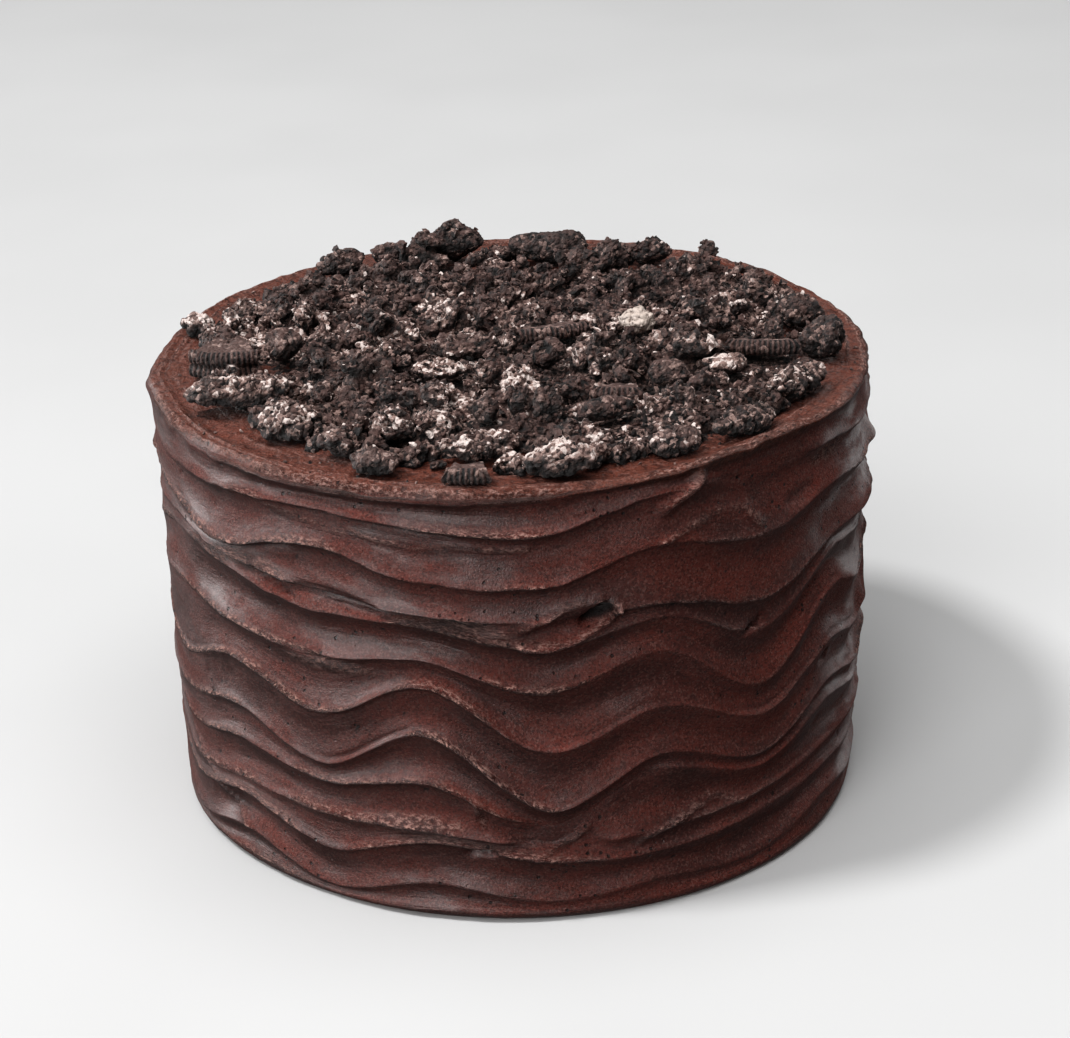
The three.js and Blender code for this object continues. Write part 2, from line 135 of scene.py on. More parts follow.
# Crests from the foot up. turns: heights where it turns across the front. sharp: 0 for a soft
# swelling, 1 for an edge. lean: 1 where the band above laps over, -1 where the band below does.
# lip: how far the edge stands proud. torn: how ragged it is. low: where the band above it is deepest.
CRESTS = [
    dict(name="foot", turns=(3, 3, 3.5, 2.5, 3.5, 3, 3, 2.5, 3, 3),
         sharp=0.6, lean=0, lip=0.3, torn=0.5, low=0.5),
    dict(name="low swell", turns=(10, 5.5, 12, 5, 11.5, 6.5, 9, 6.5, 11, 6.5),
         sharp=0.35, lean=-0.5, lip=0.35, torn=0.15, low=0.42),
    dict(name="low wave", turns=(23, 17.5, 24, 17.4, 25, 19.6, 18.2, 19.5, 20.5, 18),
         sharp=0.9, lean=-0.8, lip=0.8, torn=0.6, low=0.5),
    dict(name="low burr", turns=(30, 24, 28, 28, 28.2, 24.5, 25, 25.5, 28, 26),
         sharp=0.8, lean=-0.5, lip=0.7, torn=0.85, low=0.42),
    dict(name="short wave", turns=(40, 35, 41.5, 38.3, 42.6, 30, 43, 34.8, 42, 35),
         sharp=0.9, lean=-0.7, lip=0.8, torn=0.5, low=0.42),
    dict(name="tufted wave", turns=(50, 45, 52, 44, 58, 35.8, 48.3, 38.4, 48.5, 41),
         sharp=0.9, lean=-0.8, lip=0.9, torn=0.6, low=0.42),
    dict(name="great wave", turns=(66, 57, 67.5, 60, 72.6, 54, 63, 51, 60, 54),
         sharp=1, lean=-0.9, lip=1, torn=0.6, low=0.45),
    dict(name="middle wave", turns=(76, 80, 78.5, 77.3, 80.2, 71, 79.5, 60.3, 76.5, 68),
         sharp=0.9, lean=-0.4, lip=0.8, torn=0.65, low=0.5),
    dict(name="torn lip", turns=(88, 96, 95.5, 91.5, 90.8, 84.5, 89.5, 77, 88, 84),
         sharp=1, lean=-0.3, lip=0.8, torn=1, low=0.55),
    dict(name="lens edge", turns=(96, 101, 99, 96.7, 94.4, 92.5, 93.8, 86, 92, 91),
         sharp=1, lean=0.6, lip=0.9, torn=0.8, low=0.66),
    dict(name="upper wave", turns=(107, 106.5, 102.6, 110, 103.8, 102.7, 110.5, 104.5, 108.5, 103),
         sharp=0.9, lean=0.9, lip=0.9, torn=1, low=0.7),
    dict(name="neck", turns=(119, 117, 119, 120.5, 119, 117.2, 125, 122, 121, 117),
         sharp=0.8, lean=0.8, lip=0.6, torn=0.8, low=0.6),
    dict(name="rim", turns=(127, 127.5, 127, 126.5, 126.3, 127.3, 129.5, 131, 129, 127.5),
         sharp=0.6, lean=0, lip=0.35, torn=0.8, low=0.5),
]
NUMBER = {crest["name"]: i for i, crest in enumerate(CRESTS)}

# Stretches where a crest runs out: crest, from angle, to angle
FADES = [("neck", 28, 56), ("short wave", -4, 26), ("low burr", -4, 15)]

# Where the knife barely pressed: from angle, to angle, and the share of the depth that is left there
CALM = (-108, -64, 0.3)
CALM_EDGE = 12  # degrees over which the waves come back to their depth

# Where the crests were left round and untorn: from angle, to angle, and the share of tearing left there
CLEAN = [(16, 70, 0.25), (196, 250, 0.35)]

# Places where a crest was pulled out into a tuft: crest, angle, lift, spread
TUFTS = [
    ("lens edge", 77, 2.2, 9),
    ("tufted wave", -12, 1, 5),
    ("great wave", 140, 1.5, 8),
    ("middle wave", 215, 1.6, 9),
    ("upper wave", 84, 1.8, 2.5),
    ("middle wave", 86, 1.3, 2),
    ("great wave", 80, 1.4, 2.5),
    ("tufted wave", 84, 1.2, 2),
    ("rim", -84, 1.1, 3),
    ("upper wave", -86, 1.2, 3),
]

# Places where the knife dug in: angle, height, half width, half height, depth, slant
HOLLOWS = [
    (7, 90, 13, 3, 1.7, 15),
    (12.2, 93, 5.4, 2.5, 4.8, 25),
    (-28, 95.5, 15, 2.4, 1.9, -6),
    (-39, 95, 9, 0.9, 2.4, -22),
    (38.5, 78, 4.5, 1, 2.4, 14),
    (57, 56, 3, 1.4, 1.6, 20),
    (-6.5, 22.3, 5, 1, 3, -3),
    (-6, 31.5, 1.6, 3.6, 2, 10),
    (50, 110, 9, 2, 1.2, 6),
    (-62, 106, 7, 0.8, 1, -12),
    (128, 88, 10, 2.2, 1.6, 12),
    (165, 60, 8, 1.4, 1.6, -8),
    (196, 93, 12, 2.4, 1.8, -6),
    (232, 40, 7, 1.2, 1.6, 10),
    (250, 108, 9, 1.4, 1.3, -10),
]

# Air holes: angle, height, width, depth
PITS = [
    (-26, 56, 2.6, 1.5), (-18, 63, 2, 1.2), (-48, 84, 2.6, 1.6), (-59, 55, 2, 1.2), (-58, 50, 1.8, 1.2),
    (-52, 23, 2.2, 1.2), (-15, 40, 2.4, 1.2), (63, 25, 2.4, 1.4), (66, 23, 1.8, 1.2), (-63, 114, 2, 1.2),
    (-53, 110, 2.2, 1.3), (-70, 84, 1.8, 1.1), (-29, 60, 1.6, 1), (-12, 110, 1.8, 1), (8, 121, 1.9, 1),
    (24, 97, 1.8, 1), (33, 60, 1.8, 1),
]
PIT_REACH = 4  # degrees to each side that a pit can reach
SMALL_PITS = 200
SMALL_PIT_HEIGHTS = (6, 124)
SMALL_PIT_WIDTHS = (1.1, 1.9)
SMALL_PIT_DEPTH = 0.75
PIT_FIELD = (24, 14)  # degrees round and height of the fields that have pits or none
FIELDS_WITHOUT = 0.35  # share of the fields that has none
PIT_OVAL = (0.6, 0.45)  # half width and half height of a pit, as shares of its width
FOOT_CALM = 3  # height over which the coat is evened out, so that the foot stands flat
RIM_ROWS = 3  # grid rows to each side of the edge that are roughened further

# Small bumps of the coat: height, distance from one to the next, and where their random numbers start
SWELLING = (1, 24, 3)  # the heights of these first two are shares of the unevenness that a user sets
STROKE_SWELLING = (0.5, 7.5, 7)
TORN_BUMPS = (0.36, 1.9, 13)
SIDE_GRAIN = (0.08, 3.1, 17)
TOP_SWELLING = (0.36, 9, 23)
TORN_TOP_BUMPS = (0.28, 2.1, 29)
TOP_GRAIN = (0.26, 3.1, 31)
RIM_GRAIN = (0.45, 3.7, 37)

# Threads and folds that the knife left between the crests: width, height, route of angle and height
THREADS = [
    (0.8, 1.5, [(-4.5, 89), (0.7, 90), (4, 92.5), (7, 95.5), (10.5, 97.3), (13.7, 96.5), (15.2, 94.5)]),
    (0.9, 1.9, [(1, 84.5), (4.2, 84.5), (8.2, 86), (11.2, 88.5), (14, 91.5), (15.3, 93.8)]),
    (1.5, 2.2, [(22.5, 120), (25.5, 123), (28.5, 127)]),
    (1.0, 1.1, [(-7, 38), (-6.6, 34), (-6, 30)]),
    (0.8, 0.7, [(2, 20), (5, 22.5), (8, 25), (10, 28)]),
    (0.9, 0.8, [(18, 22), (26, 26.5), (32, 29.5), (37, 25)]),
    (0.9, 0.7, [(22, 111), (28, 114.5), (33, 116), (37, 114.5), (40, 108)]),
    (0.8, -0.8, [(-44, 78.5), (-35, 77.5), (-25, 75.5)]),
    (0.8, 0.6, [(-70, 30), (-60, 22), (-50, 12)]),
    (0.8, 0.5, [(-40, 118), (-28, 115.5), (-14, 113.5), (2, 113)]),
    (0.8, 0.7, [(120, 20), (132, 26), (144, 24), (156, 17)]),
    (0.8, 0.7, [(205, 112), (215, 115), (228, 113)]),
    (0.9, 0.8, [(170, 30), (184, 35), (196, 31)]),
]

# Rough places: angle, height, half width, half height
TORN_PATCHES = [
    (-9.5, 91.5, 14, 3),
    (-16, 29.5, 16, 3.4),
    (60, 117, 16, 3.5),
    (-45, 99, 18, 3),
    (-30, 74, 20, 2.4),
    (145, 95, 16, 3),
    (220, 66, 16, 3),
    (180, 112, 20, 3),
]

# Crushed cookies
BED_NET = 0.84  # size of the faces of the bed, of a chunk and of the lump of filling
CHUNK_NET = 0.6
FILLING_NET = 0.45
BED_UNDERSIDE = 128.0  # the level of its underside, pressed into the buttercream
GRANULE = 2.4  # size of the granules that the crumb is made of
FINE_GRANULE = 1.2
FILLING_GRANULES = (2.6, 1.3)
GRANULE_RISE = 1.5  # how far the granules stand out from a form of usual crumbliness
FINE_RISE = 0.6
LUMP_RISE = 0.6  # the same for wider lumps, and the distance from one to the next
LUMP_SPACING = 5.5
FILLING_RISES = (1.1, 0.4)
JAGGED = 0.14  # how far the corners of the broken cookie stray
GAP_DEPTH = 2.4  # how far the gaps between the clods reach below the heap's solid
CLODS = 560  # small clods that the bed is heaped from
EDGE_CLODS = 300  # and more of them along its edge
CLOD_SIZES = (5, 11)
LUMP_WIDTHS = (0.65, 1)  # of a clod, a knob or a crumb, as a share of its length, and its thickness
LUMP_THICKNESSES = (0.5, 0.85)
EDGE_CLOD_SHARE = 0.75  # size of a clod at the edge, as a share of the others
CLOD_MARGIN = 0.3  # how far a clod keeps from the large pieces and from the cake, as a share of its size
CLOD_RISES = (-0.35, 0.28)  # how high it lies above the heap's solid, as such a share
EDGE_CLOD_RISES = (-0.35, 0)
HEAP_FLOOR = 129.3
HEAP_RADIUS = 89
HEAP_WAVER = 3.5  # how far the heap's edge strays in and out, in that many waves across it
HEAP_WAVES = 9
HEAP_SET_BACK = 2.5  # how much further in it ends at the back
SPILL_MARGIN = 0.5  # crumbs and clods stay that far inside it

# For each chunk: how much filling sticks to it, how pale its crumb is, how crumbly its surface is
CHUNKS = {
    "left_edge": (0.7, 0.6, 0.8), "left_back": (0.25, 0.3, 1), "left_long": (0.6, 0.6, 0.9),
    "left_oval": (0.1, 0.7, 0.75), "front_left": (0.6, 0.6, 1.2), "front_a": (0.35, 0.7, 1),
    "front_b": (0.6, 0.6, 1.2), "front_c": (0.35, 0.8, 0.9), "front_d": (0.6, 0.5, 1.1),
    "front_e": (0.75, 0.5, 1.1), "front_f": (0.3, 0.7, 0.8), "front_right": (0.2, 0.3, 1),
    "right_long": (0.45, 0.3, 1), "right_edge": (0.1, 0.3, 0.8), "right_back": (0.08, 0.3, 0.8),
    "right_flat": (0.8, 0.6, 0.7), "right_grey": (0.15, 0.8, 0.5), "dark_arc": (0.05, 0.5, 0.6),
    "knob": (0.05, 1, 0.65), "flat_long": (0.25, 0.6, 0.6), "pale_flat": (0.8, 0.6, 0.8),
    "pale_middle": (0.7, 0.6, 1), "back_peak": (0.05, 0.25, 0.6), "back_block": (0.04, 0.25, 0.5),
    "back_right": (0.05, 0.25, 0.6), "back_left": (0.1, 0.3, 0.8), "back_low": (0.2, 0.4, 0.8),
}
# The chunks that no loose crumbs lie on
BARE = ("left_oval", "dark_arc", "knob", "right_grey", "right_flat", "back_block")
KNOBS = 9  # small knobs on a chunk of usual crumbliness
KNOB_SIZES = (2.6, 5)
KNOB_SUNK = 0.35  # how deep a knob sits in its chunk, as a share of its size

# Broken wafers: place in plan, height above the cake, length, depth and thickness, turn and tilt
WAFERS = {
    "left": ((-80, -13), 0.8, (20, 14, 8.5), -6, 4),
    "right": ((71.5, -19), 3.6, (21, 9, 4.5), -6, -12),
    "middle": ((12.5, -2), 4, (21, 9, 4), 14, -10),
    "small": ((29.5, -49.5), 3.4, (14, 8, 4), -8, -8),
    "front": ((-11, -97), 0.9, (12, 6.5, 4.5), -5, 0),
}
COOKIE_RADIUS = 22.5
NOTCH_PITCH = 1.5
NOTCH_DEPTH = 0.52
NOTCH_STEPS = 8  # columns to a notch
# Section of a wafer at its rim: distance in from the rim and share of the thickness
WAFER_SECTION = [
    (2.4, 0), (1.2, 0.04), (0.5, 0.16), (0.1, 0.34), (0, 0.52), (0.12, 0.7), (0.5, 0.87), (1.1, 0.97),
    (1.8, 1), (2.5, 0.96), (3.1, 0.88), (4.4, 0.86),
]
# The same through a whole cookie: two wafers with the filling drawn in between them
COOKIE_SECTION = [
    (2.4, 0), (1.2, 0.03), (0.4, 0.1), (0.1, 0.2), (0.3, 0.31), (1, 0.37), (1.3, 0.4), (1.3, 0.52),
    (1, 0.55), (0.3, 0.6), (0, 0.72), (0.2, 0.86), (0.8, 0.96), (1.7, 1), (2.5, 0.97), (3.2, 0.9),
    (4.6, 0.88),
]
# The same at the broken side, as shares of the piece's depth and thickness, and where the underside ends
BROKEN_SIDE = [(0.7, 0.87), (1, 0.84), (0.97, 0.5), (1, 0.12)]
UNDERSIDE_END = (0.85, 0.02)
THICK_WAFER = 6  # a piece thicker than this is a whole cookie

# Loose crumbs: how many are dropped, their sizes, and into how many bands a ball is cut before it is
# broken, where 0 stands for a ball of 20 faces
GRAINS = [
    dict(name="coarse_crumbs", count=420, sizes=(3.2, 5.5), segments=4, seed=11),
    dict(name="middling_crumbs", count=2900, sizes=(1.7, 3.2), segments=0, seed=23),
    dict(name="fine_crumbs", count=5200, sizes=(0.9, 1.8), segments=0, seed=37),
    dict(name="stray_crumbs", count=70, sizes=(0.7, 1.8), segments=0, seed=53),
]
VARIANTS = 12  # differently broken balls of each kind
STRAY_RING = (90, 100)  # radii between which the stray crumbs lie
BARE_MARGIN = 1  # crumbs stay off a bare piece, also where it lies this far under the rest
CRUMB_RISE = 0.1  # how far the middle of a crumb lies above what it fell on, as a share of its size
COATED_SHARES = (0.02, 0.3)  # share of crumbs coated with filling where none is smeared, and what it gains
COATED = 0.75  # filling on a coated crumb, and on the others as a share of what is smeared there
UNCOATED = 0.6

# Sizes of the patterns in the buttercream
STREAK_LENGTH = 16.7  # fine lines that the knife drew
FLAKE_LENGTH = 1.67  # ragged flakes along the torn crests
FLAKE_WIDTH = 0.625
PATCH_LENGTH = 33.3  # places where the knife pressed it satin
PATCH_WIDTH = 7.7
CLOUD = 20  # soft mottling
SAND = 0.476  # grit of sugar
SUGAR = 0.5  # single grains of sugar and cocoa
# The crust's hollows also get painted shade in the coat's colour
CRUST = 2.63  # dry crust on the top
AIR_HOLE = 1.92
SWARM = 26.3  # swarms of air holes
DRAWN = 14.3  # stretches that show the knife's lines
TOP_BLEND = (-2.2, 0.2)  # levels round the flat top between which the top's colour sets in

# Sizes of the patterns in the cookies, in the filling and in the floor
CRUMB_GRAIN = 0.588
SUGAR_CLOD = 1.54
SUGAR_GRAIN = 0.667
FLOOR_MOTTLE = 167

# The photograph's camera
LENS = 88.25
SENSOR = 36.0
ELEVATION = 24.32
ROLL = -1.85
DISTANCE = 779.4
TARGET = (5.9, 0.0, 75.6)

# The studio, in metres: name of the light, size across and place. The reflectors show as a sheen only.
FLOOR_RADIUS = 8
LIGHTS = [
    ("key", 0.5, (-1.32, -0.42, 2.7)),
    ("overhead", 2.6, (0.3, -0.3, 3.0)),
    ("front", 1.6, (-1.0, -2.2, 2.1)),
    ("left_reflector", 1.0, (-1.3, 0.25, 0.34)),
    ("front_reflector", 0.9, (-0.9, -1.4, 0.3)),
    ("right_reflector", 1.6, (1.05, 0.9, 0.3)),
]
LIGHTS_AIM = (0, 0, 0.06)

# Settings that many nodes share
MULTIPLY = {"operation": "MULTIPLY"}
MULTIPLY_ADD = {"operation": "MULTIPLY_ADD"}
ADD = {"operation": "ADD"}
RISE = {"interpolation_type": "SMOOTHSTEP"}
COLOURS = {"data_type": "RGBA"}


def linear(hex_colour):
    """A hex colour as linear red, green, blue and alpha."""
    parts = [int(hex_colour[i:i + 2], 16) / 255 for i in (1, 3, 5)]
    return [c / 12.92 if c <= 0.04045 else ((c + 0.055) / 1.055) ** 2.4 for c in parts] + [1.0]


def colour(name, hex_colour, description):
    return FloatVectorProperty(
        name=name, description=description, default=linear(hex_colour), size=4, min=0, max=1,
        subtype="COLOR",
    )


def factor(name, share, description):
    return FloatProperty(
        name=name, description=description, default=share, min=0, max=1, subtype="FACTOR",
    )


def length(name, millimetres, description):
    return FloatProperty(
        name=name, description=description, default=millimetres * MM, min=0.1 * MM, unit="LENGTH",
        subtype="DISTANCE",
    )


def watts(name, power, description):
    return FloatProperty(name=name, description=description, default=power, min=0, unit="POWER")


class ButtercreamSettings(bpy.types.PropertyGroup):
    dark: colour("Dark", "#451f1a", "Buttercream where the knife pressed it smooth")
    light: colour("Light", "#6c342b", "Buttercream where it is thinner or drier")
    # Top: drier, more orange cream on the flat top, made lighter too as painted light
    top: colour("Top", "#663728", "Drier buttercream on the flat top")
    # Crust: painted shade in the hollows of the crust on the flat top, together with crumb dust
    crust: colour("Crust", "#2a120d", "Hollows of the crust on the flat top")
    # Deep: real cocoa grains, and painted shade at the bottom of the torn places
    deep: colour("Deep", "#1c0b08", "Cocoa grains, and the bottom of the torn places")
    # Torn: paler aerated cream along the crests, made paler still as a painted highlight
    torn: colour("Torn", "#b18c82", "Ragged, aerated buttercream along the crests")
    # Lip: a painted highlight along each crest, on its thin dry lip
    lip: colour("Lip", "#b98f84", "Thin dry lip on a crest")
    # Hole: painted shade inside the air holes, the cuts and the deepest hollows
    hole: colour("Hole", "#120706", "Inside of the air holes and cuts")
    roughness: factor("Roughness", 0.43, "Roughness of the smooth buttercream")
    torn_roughness: factor("Torn roughness", 0.85, "Roughness of the ragged buttercream")
    streak: length("Streak spacing", 0.9, "Spacing of the fine lines that the knife left")
    unevenness: length("Unevenness", 0.55, "How far the coat wanders in and out")


class CookieSettings(bpy.types.PropertyGroup):
    dark: colour("Dark crumb", "#0f0a0a", "Black cocoa crumb in the shade of its neighbours")
    brown: colour("Brown crumb", "#533d38", "Freshly broken crumb")
    pale: colour("Pale crumb", "#937a72", "Crumb dusted with filling")
    cream: colour("Smear", "#dacbc5", "Sugar filling smeared on the crumb")
    filling: colour("Filling", "#bfb0a6", "Bare lump of sugar filling")
    # Darker colour in the cracks of the filling
    crack_darkening: colour("Stain", "#54453e", "Cocoa dust in the cracks of the filling")
    roughness: factor("Roughness", 0.8, "Roughness of the dry crumb")
    heap_share: factor("Loose crumbs", 1, "Share of the loose crumbs that is scattered")


class StudioSettings(bpy.types.PropertyGroup):
    floor: colour("Floor", "#c6c6c6", "Pale matt floor")
    mottle: colour("Mottle", "#c3c3c3", "Soft mottling of the floor")
    key: watts("Key light", 55, "Power of the light from high on the left")
    overhead: watts("Overhead light", 46, "Power of the wide light above")
    front: watts("Front light", 38, "Power of the soft light at the front left")
    left_reflector: watts("Left reflector", 34, "Power of the low reflector at the left")
    front_reflector: watts("Front reflector", 40, "Power of the low reflector at the front left")
    right_reflector: watts("Right reflector", 11, "Power of the low reflector at the back right")
    surround: FloatProperty(
        name="Surround", description="Brightness of the room round the floor", default=0.15, min=0, max=2
    )


def lot(a, b):
    """A settled random number from 0 to 1 for each pair of numbers."""
    wave = np.sin(a * 12.9898 + b * 78.233) * 43758.5453
    return wave - np.floor(wave)


def mix(a, b, t):
    return a + (b - a) * t


def smooth(t):
    return t * t * (3 - 2 * t)


def ramp(x, low, high):
    """0 below low, 1 above high, and a smooth rise between."""
    return smooth(np.clip((x - low) / (high - low), 0, 1))


def apart(a, b):
    """Difference between two angles in degrees, from -180 to 180."""
    return (a - b + 180) % 360 - 180


def in_plan(angle, radius):
    """The x and y of a place given by its angle and its distance from the middle."""
    return radius * np.sin(np.radians(angle)), -radius * np.cos(np.radians(angle))


def wander(angles, steps, seed):
    """Gentle bumps from 0 to 1 round the cake, that many to a turn."""
    place = (angles % 360) / 360 * steps
    i = np.floor(place)
    return mix(lot(seed, i), lot(seed, (i + 1) % steps), smooth(place - i))


def bumps(points, spacing, seed):
    """Gentle bumps from -1 to 1 through space, one to each cell of the given spacing."""
    place = points / spacing
    low = np.floor(place)
    part = smooth(place - low)
    total = 0
    for corner in itertools.product((0, 1), repeat=3):
        cell = low + corner
        share = np.prod(np.where(corner, part, 1 - part), axis=-1)
        a = cell[..., 0] + 57 * cell[..., 2] + seed
        b = cell[..., 1] - 31 * cell[..., 2]
        total = total + share * lot(a, b)
    return 2 * total - 1


def bumpy(points, kind):
    """Bumps of one of the kinds named above: height, spacing and seed."""
    height, spacing, seed = kind
    return height * bumps(points, spacing, seed)


def granules(points, spacing, seed):
    """Height from 0 to 1 of round granules packed through space, and a lot for each granule."""
    place = points / spacing
    cell = np.floor(place)
    nearest = np.full(len(points), 9.0)
    whose = np.zeros(len(points))
    for step in itertools.product((-1, 0, 1), repeat=3):
        near = cell + step
        a = near[:, 0] + 57 * near[:, 2] + seed
        b = near[:, 1] - 31 * near[:, 2]
        middle = near + np.stack([lot(a, b), lot(a + 0.37, b), lot(a, b + 0.73)], axis=1)
        gap = np.linalg.norm(place - middle, axis=1)
        closer = gap < nearest
        nearest[closer] = gap[closer]
        whose[closer] = lot(a + 0.59, b + 0.21)[closer]
    return np.sqrt(np.clip(1 - (nearest / 0.8) ** 2, 0, 1)), whose


def turns_round(crest, index):
    """Heights at which a crest turns all the way round: the front as seen, then the same swing."""
    front = list(crest["turns"])
    level = sum(front) / len(front)
    changes = [abs(b - a) for a, b in zip(front, front[1:])]
    swing = sum(changes) / (2 * len(changes))
    for i in range(len(front), TURNS_ROUND):
        side = -1 if i % 2 else 1
        front.append(level + side * swing * mix(0.6, 1.3, float(lot(index, i))))
    return np.array(front)


def crest_line(index, angles):
    """Height of one crest on a smooth line through its turns."""
    turns = turns_round(CRESTS[index], index)
    place = (angles - FIRST_TURN) / TURN % TURNS_ROUND
    i = np.floor(place).astype(int)
    t = place - i
    a, b, c, d = (turns[(i + step) % TURNS_ROUND] for step in (-1, 0, 1, 2))
    return b + 0.5 * t * (c - a + t * (2 * a - 5 * b + 4 * c - d + t * (3 * (b - c) + d - a)))


def crest_heights(angles):
    """Heights of all crests, in order and never closer than the least gap."""
    heights = np.array([crest_line(i, angles) for i in range(len(CRESTS))])
    for k, crest in enumerate(CRESTS[1:], 1):
        stray = wander(angles, 70, 170 + k) + 0.8 * wander(angles, 160, 190 + k) - 0.9
        heights[k] += CREST_WOBBLE * crest["torn"] * stray
    for k in range(1, len(heights)):
        heights[k] = np.maximum(heights[k], heights[k - 1] + CREST_GAP)
    for k in range(len(heights) - 2, -1, -1):
        heights[k] = np.minimum(heights[k], heights[k + 1] - CREST_GAP)
    return heights


def crest_strength(index, angles):
    """1 where a crest stands, falling to 0 where it has run out."""
    strength = np.ones_like(angles)
    for name, start, end in FADES:
        if NUMBER[name] == index:
            half = (end - start) / 2
            offset = np.abs(apart(angles, start + half)) / half
            strength = np.minimum(strength, smooth(np.clip(2 * offset - 1, 0, 1)))
    return strength


def crest_lift(index, angles):
    """How far a crest stands out from the body of the cake."""
    chance = wander(angles, TURNS_ROUND, index + 31)
    lift = mix(FADED_LIFT, CREST_LIFT * mix(0.3, 1.7, chance), crest_strength(index, angles))
    for name, angle, rise, spread in TUFTS:
        if NUMBER[name] == index:
            lift = lift + rise * np.exp(-((apart(angles, angle) / spread) ** 2))
    return lift


def stretch(angles, start, end, share):
    """That share within a stretch of the side, and 1 away from it."""
    inside = ramp(apart(angles, start), -CALM_EDGE, 0) * ramp(apart(end, angles), -CALM_EDGE, 0)
    return 1 - (1 - share) * inside


def body_radius(angles, z):
    """Radius of the body of the cake, without its waves."""
    up = np.clip(z / TOP_LEVEL, 0, 1)
    wobble = BASE_WOBBLE * (1 - up) * np.cos(3 * np.radians(angles - BASE_WOBBLE_ANGLE))
    return mix(BASE_RADIUS, TOP_RADIUS, up) + wobble


def band_hollow(t, low, edge_below, edge_above):
    """Depth from 0 to 1 across a band that is deepest at low. An edge of 1 is sharp, 2 is soft."""
    rising = np.sin(np.pi / 2 * np.clip(t / low, 0, 1)) ** edge_below
    falling = np.sin(np.pi / 2 * np.clip((1 - t) / (1 - low), 0, 1)) ** edge_above
    return np.minimum(rising, falling)


def crest_habits(angles):
    """For each crest, round the cake: its softness, lip and lean, and how torn, frayed and cut it is."""
    pressed = stretch(angles, *CALM)
    rawness = np.prod([stretch(angles, *place) for place in CLEAN], axis=0)
    habits = []
    for k, crest in enumerate(CRESTS):
        strength = crest_strength(k, angles)
        uneven = 0.5 + 1.3 * wander(angles, 40, 70 + k) * wander(angles, 17, 90 + k)
        tearing = np.clip(2.8 * wander(angles, 33, 130 + k) - 0.9, 0, 1)
        fraying = np.clip(1.5 * wander(angles, 54, 210 + k) - 0.25, 0, 1)
        cutting = np.clip(2.8 * wander(angles, 26, 270 + k) - 1.15, 0, 1)
        fraying *= 0.5 + wander(angles, 190, 230 + k)
        cutting *= 0.6 + 0.6 * wander(angles, 120, 290 + k)
        habits.append(dict(
            soft=2 - crest["sharp"] * mix(0.25, 1, rawness * wander(angles, 15, 390 + k) ** 0.5),
            lip=0.8 * crest["lip"] * strength * uneven * pressed * mix(0.4, 1, rawness),
            lean=np.clip(crest["lean"] + 0.9 * (wander(angles, 13, 110 + k) - 0.5), -1, 1),
            torn=crest["torn"] * strength * rawness * tearing,
            burr=0.75 * crest["lip"] * strength * fraying * pressed * rawness,
            slot=SLOT_DEPTH * crest["torn"] * strength * cutting * pressed * mix(0.5, 1, rawness),
        ))
    return habits


def band_rows(k, angles, heights, habits):
    """The grid rows from one crest up to the next, as side_rows gives them."""
    lower, upper = habits[k], habits[k + 1]
    gap = heights[k + 1] - heights[k]
    count = max(LEAST_ROWS, round(float(np.mean(gap)) / ROW_SPACING))
    strength = (crest_strength(k, angles) + crest_strength(k + 1, angles)) / 2
    varied = stretch(angles, *CALM) * mix(*BAND_DEPTHS, wander(angles, 13, 350 + k))
    depth = strength * varied * np.minimum(CHANNEL_DEPTH, CHANNEL_SHARE * gap)
    rows = []
    for i in range(count):
        s = i / count
        t = s - ROW_CROWDING * math.sin(2 * math.pi * s) / (2 * math.pi)
        z = mix(heights[k], heights[k + 1], t)
        below, above = gap * t, gap * (1 - t)
        radius = body_radius(angles, z) + mix(crest_lift(k, angles), crest_lift(k + 1, angles), t)
        radius -= depth * band_hollow(t, CRESTS[k]["low"], lower["soft"], upper["soft"])
        cuts = 0
        for crest, away, lean in ((lower, below, lower["lean"]), (upper, above, -upper["lean"])):
            radius += crest["lip"] * np.clip(lean, 0, 1) * np.exp(-away / LIP_FADE)
            radius += crest["burr"] * np.exp(-((away / BURR_WIDTH) ** 2))
            under = np.exp(-(((away - SLOT_OFFSET) / SLOT_WIDTH) ** 2))
            cuts = cuts + crest["slot"] * np.clip(0.2 - lean, 0, 1) * under
        if i == 0:
            radius += lower["lip"] * np.clip(-lower["lean"], 0, 1)
        cuts = np.minimum(cuts, SLOT_SHARE * gap)
        tear = lower["torn"] * np.exp(-((below / TEAR_WIDTH) ** 2))
        tear += upper["torn"] * np.exp(-((above / (TEAR_BELOW * TEAR_WIDTH)) ** 2))
        across = np.full_like(angles, (k + t) * CREST_STEP)
        rows.append((radius - cuts, z, np.clip(tear, 0, 1), across, cuts / SLOT_DEPTH))
    return rows


def side_rows(angles):
    """For each grid row of the side: radius, height, how torn it is, distance across the strokes, and
    how deep it is cut."""
    heights = crest_heights(angles)
    habits = crest_habits(angles)
    last = len(CRESTS) - 1
    rows = []
    for k in range(last):
        rows += band_rows(k, angles, heights, habits)
    edge = heights[last]
    radius = body_radius(angles, edge) + crest_lift(last, angles) + 0.6 * habits[last]["lip"]
    across = np.full_like(angles, last * CREST_STEP)
    rows.append((radius, edge, habits[last]["torn"], across, np.zeros_like(angles)))
    return rows


